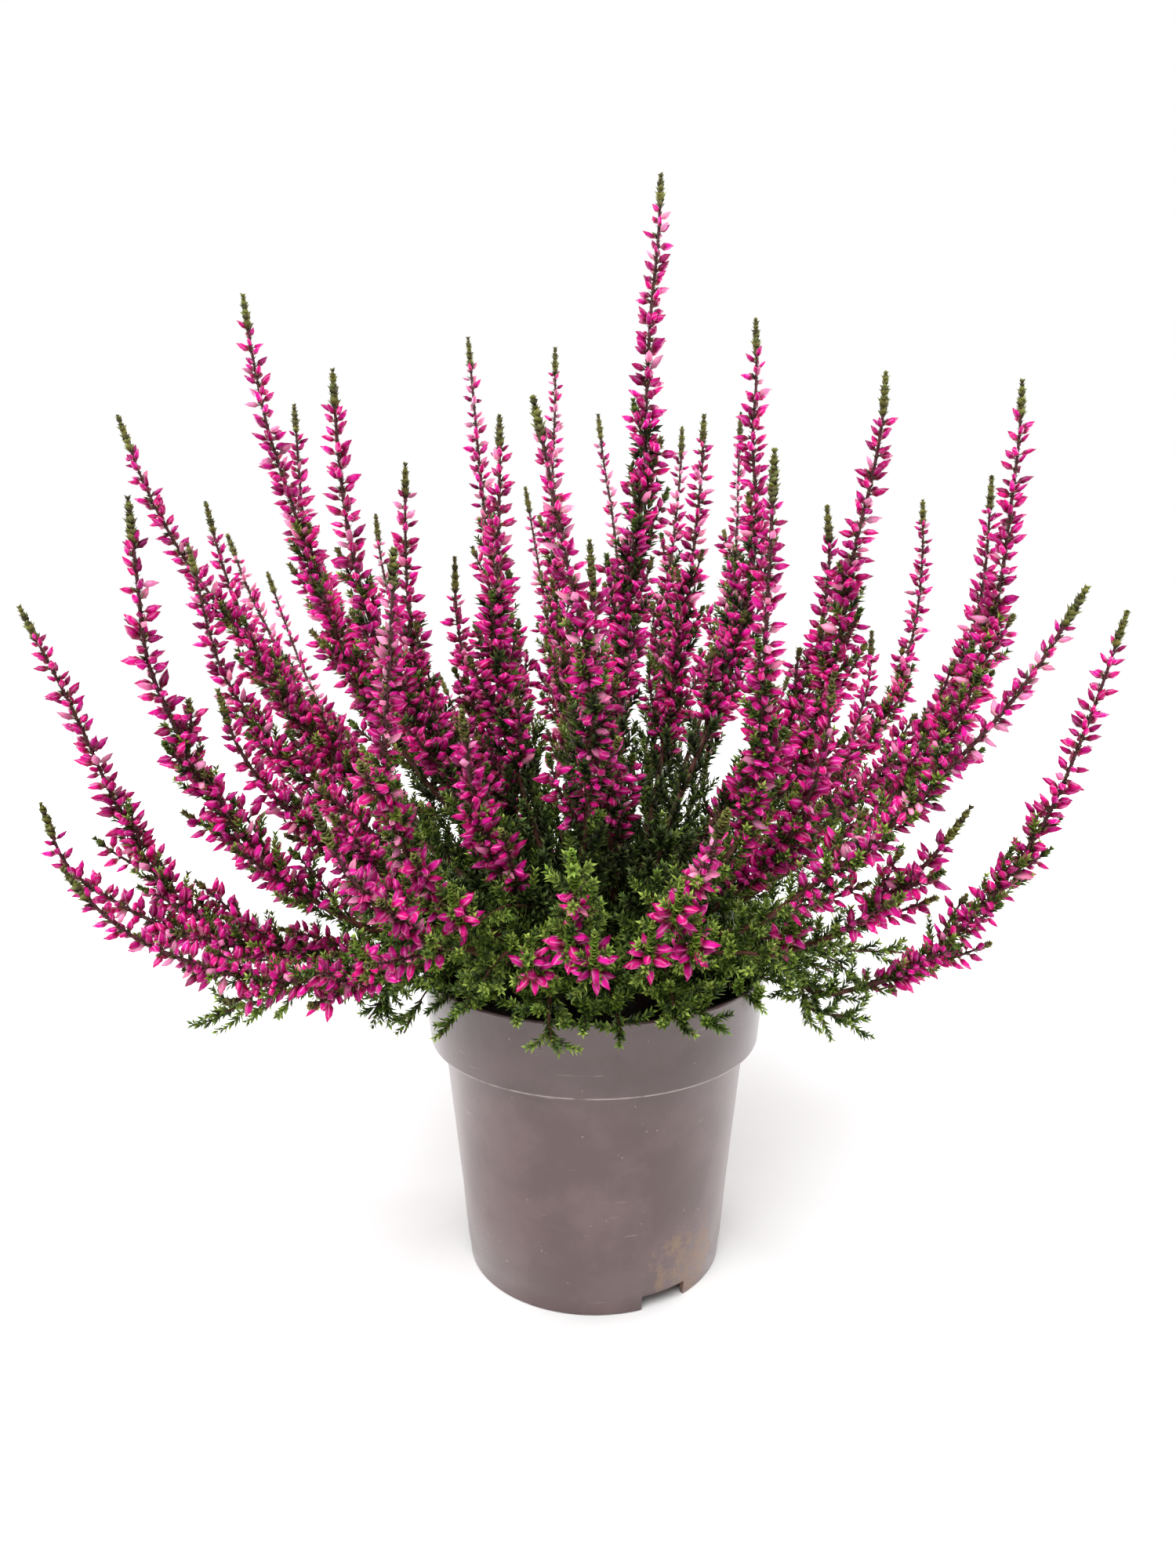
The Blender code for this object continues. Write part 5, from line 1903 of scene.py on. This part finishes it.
    def grow_stem(self, stem: Stem) -> None:
        """Adds one stem and what it carries."""
        route = Route(Lines.smooth(self.lines[stem.name], 90, 6))
        whole = route.length
        self.grow_wood(stem, route)
        if not stem.flowers:
            self.grow_sprigs(route, (self.bare_length, whole - 0.004), self.sprig_length, 0.0020)
            self.grow_end(route, 0.008, 0.010, 0.2)
        elif stem.short:
            top = whole - self.green_top
            self.grow_sprigs(route, (self.bare_length, top), self.sprig_length, self.sprig_gap)
            self.grow_bloom(stem, route, top - 0.014, top)
            self.grow_sprigs(route, (top, whole - 0.005), (0.0080, 0.0050), 0.0022)
            self.grow_scales(route, top, 1.1, Tone.FRESH)
        else:
            seat = whole * (1.0 - stem.bloom)
            top = whole - self.some(self.tip_length)
            side_end = seat + (top - seat) * self.side_zone
            self.grow_sprigs(route, (self.bare_length, seat), self.sprig_length, self.sprig_gap)
            self.grow_sprigs(route, (seat, side_end), (0.0125, 0.0065), self.sprig_gap * 1.05)
            self.grow_bloom(stem, route, seat, top)
            self.grow_side_spikes(stem, route, (seat - 0.010, side_end))
            self.grow_scales(route, top - 0.001, 1.0, Tone.OLIVE)

    def grow(self) -> None:
        """Grows the branch's foot, its low twigs and its stems."""
        self.grow_foot()
        self.grow_skirt()
        self.grow_clusters()
        self.grow_uprights()
        for stem in self.stems:
            self.grow_stem(stem)

    def pieces(self, finishes: dict[Slot, Material]) -> list[Thing]:
        """Makes the branch's pieces, which stand for its solids.

        Args:
            finishes: The materials by slot.

        Returns:
            The wood, the leaves and the buds.
        """
        short = self.branch.name.removeprefix("branch_")
        wood = self.wood.thing(f"wood_{short}", finishes[Slot.WOOD], True)
        leaves = Sheaf.of(self.whorls, self.scales, self.bracts).thing(
            f"leaves_{short}", finishes[Slot.LEAF], False
        )
        buds = Sheaf.of(self.buds).thing(f"buds_{short}", finishes[Slot.BUD], True)
        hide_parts(self.branch.name)
        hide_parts(self.branch.name)
        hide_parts(*(stem.name for stem in self.stems if stem.flowers))
        return [wood, leaves, buds]


@dataclass
class Pot:
    """The moulded pot: a tapered wall, a stepped collar, a raised floor and a notched foot."""

    height: float = PlantSizes.pot_height
    base: float = 0.0415
    neck: float = 0.04865
    collar_bottom: float = 0.0760
    collar: float = 0.05295
    rim: float = PlantSizes.rim_radius
    lip: float = 0.0004
    wall: float = 0.0012
    floor_rise: float = 0.0060
    floor: float = 0.0014
    foot: float = 0.0016
    pad: float = 0.0158
    notch_turns: tuple[float, ...] = (-59.0, 61.0, 181.0)
    notch_size: Point = (0.0080, 0.0156, 0.0050)
    notch_ease: float = 0.0008
    drains: int = 6
    drain_radius: float = 0.0035
    drain_circle: float = 0.0280
    drain_depth: float = 0.006
    drain_sides: int = 24
    steps: int = 144
    sharp_angle: float = math.radians(32.0)

    def profile(self) -> list[Pair]:
        """Radius and height of each point of the outline, from the axis under the pot to the axis in it."""
        base, neck, collar, rim, wall = self.base, self.neck, self.collar, self.rim, self.wall
        lip, pad, rise, low, height = self.lip, self.pad, self.floor_rise, self.collar_bottom, self.height
        foot = base - self.foot
        top = rise + self.floor
        return [
            (0.0, 0.0), (pad - 0.0005, 0.0), (pad, 0.0005), (pad + 0.0010, rise - 0.0006),
            (pad + 0.0016, rise), (foot - 0.0006, rise), (foot, rise - 0.0006), (foot, lip),
            (foot + lip, 0.0), (base - lip, 0.0), (base + 0.0001, lip), (base + 0.0007, 0.0065),
            (base + 0.0009, 0.0069), (base + 0.0024, 0.0260), (base + 0.0048, 0.0510),
            (neck, low - 0.0008), (neck + 0.0003, low), (collar - 0.0007, low),
            (collar - 0.0002, low + 0.0002), (collar, low + 0.0008),
            (collar + 0.0011, height * 0.5 + low * 0.5), (rim - 0.0001, height - 0.0011),
            (rim, height - 0.0006), (rim - 0.0002, height - 0.0001), (rim - 0.0006, height),
            (rim - wall, height - 0.0001), (rim - wall - 0.0002, height - 0.0006),
            (collar - wall, low + wall), (neck - wall, low + wall), (base - wall + 0.0004, top),
            (pad, top), (pad - 0.0012, self.floor), (0.0, self.floor),
        ]

    def cut(self, thing: Thing, cutter: Thing) -> None:
        """Takes a cutter away from the pot, and removes it."""
        change = thing.modifiers.new("cut", "BOOLEAN")
        change.operation = "DIFFERENCE"
        change.solver = "EXACT"
        change.object = cutter
        Bench.apply(thing)
        bpy.data.objects.remove(cutter)

    def notch_cutter(self, turn: float) -> Thing:
        """A block with eased edges that cuts one notch."""
        reach, width, height = self.notch_size
        Bench.clear()
        bpy.ops.mesh.primitive_cube_add(size=1.0, location=(self.base, 0.0, 0.0))
        Bench.edit()
        bpy.ops.transform.resize(value=(reach, width, height * 2), center_override=(self.base, 0.0, 0.0))
        bpy.ops.mesh.bevel(offset=self.notch_ease, segments=3, affect="EDGES")
        bpy.ops.mesh.select_all(action="SELECT")
        thing = Bench.done("notch")
        thing.data.transform(Matrix.Rotation(math.radians(turn), 4, "Z"))
        return thing

    def drain_cutter(self, turn: float) -> Thing:
        """A round cutter for one drain."""
        place = (self.drain_circle * math.cos(turn), self.drain_circle * math.sin(turn), self.floor_rise)
        Bench.clear()
        bpy.ops.mesh.primitive_cylinder_add(
            vertices=self.drain_sides, radius=self.drain_radius, depth=self.drain_depth, location=place
        )
        Bench.edit()
        return Bench.done("drain")

    def build(self, material: Material) -> Thing:
        """Builds the pot.

        Args:
            material: Its material.

        Returns:
            The pot, which stands for its solid.
        """
        thing = Bench.turned("pot_body", self.profile(), self.steps)
        for turn in self.notch_turns:
            self.cut(thing, self.notch_cutter(turn))
        for step in range(self.drains):
            self.cut(thing, self.drain_cutter(math.tau * (step + 0.5) / self.drains))
        Bench.take(thing)
        bpy.ops.object.shade_smooth_by_angle(angle=self.sharp_angle)
        thing.data.materials.clear()
        thing.data.materials.append(material)
        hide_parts("pot")
        return thing


@dataclass
class Soil:
    """The peat: a lumpy bed under the rim, strewn with crumbs."""

    top: float = PlantSizes.soil_top
    edge: float = 0.0512
    underside: tuple[Pair, ...] = (
        (0.0, 0.0017), (0.0140, 0.0017), (0.0152, 0.0077), (0.0397, 0.0077),
        (0.0468, 0.0775), (0.0508, 0.0775),
    )
    rings: int = 14
    steps: int = 72
    lump_size: float = 0.006
    lump_height: float = 0.0034
    lump_middle: float = 0.45
    crumbs: int = 560
    crumb_size: Pair = (0.0005, 0.0013)
    crumb_seat: float = 0.35
    strewn_to: float = 0.985

    def bed(self) -> Shape:
        """The bed: a turned body whose top is raised in lumps."""
        top = [(self.edge * (1.0 - ring / self.rings), self.top) for ring in range(self.rings + 1)]
        thing = Bench.turned("peat", [*self.underside, *top], self.steps)
        group = thing.vertex_groups.new(name="top")
        group.add([p.index for p in thing.data.vertices if p.co.z > self.top - 0.001], 1.0, "REPLACE")
        clouds = bpy.data.textures.new("lumps", "CLOUDS")
        clouds.noise_scale = self.lump_size
        relief = thing.modifiers.new("lumps", "DISPLACE")
        relief.texture = clouds
        relief.vertex_group = "top"
        relief.direction = "Z"
        relief.strength = self.lump_height
        relief.mid_level = self.lump_middle
        Bench.apply(thing)
        return Shape.from_object(thing)

    def strewn(self, crumb: Shape) -> Copies:
        """The crumbs, strewn over the bed."""
        draw = np.random.default_rng(SOIL_SEED)
        copies = Copies(crumb)
        least, more = self.crumb_size
        for _ in range(self.crumbs):
            radius = self.edge * math.sqrt(draw.random()) * self.strewn_to
            turn = draw.uniform(0.0, math.tau)
            size = least + more * draw.random() ** 3
            height = self.top + size * self.crumb_seat
            place = np.array([radius * math.cos(turn), radius * math.sin(turn), height])
            way = draw.normal(size=3)
            copies.add(place, way, draw.uniform(0.0, math.tau), size, size, (0, 0))
        return copies

    def build(self, material: Material, shapes: ShapeBook) -> Thing:
        """Builds the soil.

        Args:
            material: Its material.
            shapes: The modelled shapes, for the crumb.

        Returns:
            The soil, which stands for its solid.
        """
        sheaf = Sheaf()
        bed = self.bed()
        sheaf.gather(bed, bed.points[None])
        sheaf.gather(shapes.crumb, self.strewn(shapes.crumb).points())
        soil = sheaf.thing("peat_bed", material, True)
        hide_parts("potting_soil")
        return soil


@dataclass(frozen=True)
class Lamp:
    """One soft light: where it stands, its width and height, and its power."""

    name: str
    place: Point
    size: Pair
    power: float


@dataclass
class Studio:
    """The pale floor, the soft light and the camera."""

    eye: Eye = field(default_factory=Eye)
    backdrop: float = 1.0
    sky: float = 0.42
    sun_power: float = 2.9
    sun_angle: float = math.radians(44.0)
    sun_place: Point = (-0.28, -0.80, 1.45)
    floor_size: float = 30.0
    lamps: tuple[Lamp, ...] = (
        Lamp("strip_left", (-0.95, 0.62, 0.33), (1.0, 0.6), 11.0),
        Lamp("strip_right", (0.95, 0.62, 0.33), (1.0, 0.6), 13.0),
    )
    aim: Point = (0.0, 0.0, 0.14)

    def build(self) -> None:
        """Builds the studio."""
        self.eye.camera()
        bpy.context.scene.world = Backdrop("studio", self.sky, self.backdrop).world
        sun = bpy.data.lights.new("key", "SUN")
        sun.energy = self.sun_power
        sun.angle = self.sun_angle
        self.hang(sun, self.sun_place)
        for lamp in self.lamps:
            data = bpy.data.lights.new(lamp.name, "AREA")
            data.shape = "RECTANGLE"
            data.size, data.size_y = lamp.size
            data.energy = lamp.power
            self.hang(data, lamp.place)
        Bench.clear()
        bpy.ops.mesh.primitive_plane_add(size=self.floor_size, location=ORIGIN)
        floor = bpy.context.view_layer.objects.active
        floor.name = "floor"
        floor.data.materials.append(FloorFinish().material())
        bpy.context.scene.view_settings.view_transform = "Standard"

    def hang(self, data: bpy.types.Light, place: Point) -> None:
        """Puts a light in its place, turned to the plant."""
        thing = Bench.placed(data.name, data)
        thing.location = place
        way = Vector(self.aim) - Vector(place)
        thing.rotation_euler = way.to_track_quat("-Z", "Y").to_euler()


def named_stems(kind: str, seen: Iterable[tuple], *bloom: float) -> list[Stem]:
    """The stems of one kind, numbered as they are listed, with this bloom where none is listed."""
    return [
        Stem(f"{kind}_{number:02d}", entry[0].name, *entry[1:], *bloom)
        for number, entry in enumerate(seen, start=1)
    ]


def report(piece: Thing) -> None:
    """Logs a piece and how many faces it has."""
    LOG.info("%s: %d triangles", piece.name, sum(len(face.vertices) - 2 for face in piece.data.polygons))


def main() -> None:
    """Builds the studio, the pot, the soil and the heather."""
    logging.basicConfig(level=logging.INFO, format="%(name)s: %(message)s")
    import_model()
    studio = Studio()
    studio.build()
    shapes = ShapeBook()
    finishes = {
        Slot.POT: PotFinish().material(),
        Slot.SOIL: SoilFinish().material(),
        Slot.LEAF: LeafFinish().material(),
        Slot.BUD: BudFinish().material(),
        Slot.WOOD: WoodFinish().material(),
    }
    pieces = [Pot().build(finishes[Slot.POT]), Soil().build(finishes[Slot.SOIL], shapes)]
    stems = named_stems("flower_spike", SPIKES_SEEN) + named_stems("leafy_shoot", SHOOTS_SEEN, 0.0)
    lines = Routes(studio.eye, stems).settle()
    for branch in BRANCHES:
        own = [stem for stem in stems if stem.branch == branch.name]
        dressed = DressedBranch(branch=branch, stems=own, lines=lines, shapes=shapes, eye=studio.eye)
        dressed.grow()
        pieces += dressed.pieces(finishes)
    for piece in pieces:
        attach(piece, BODY)
        report(piece)


if __name__ == "__main__":
    main()
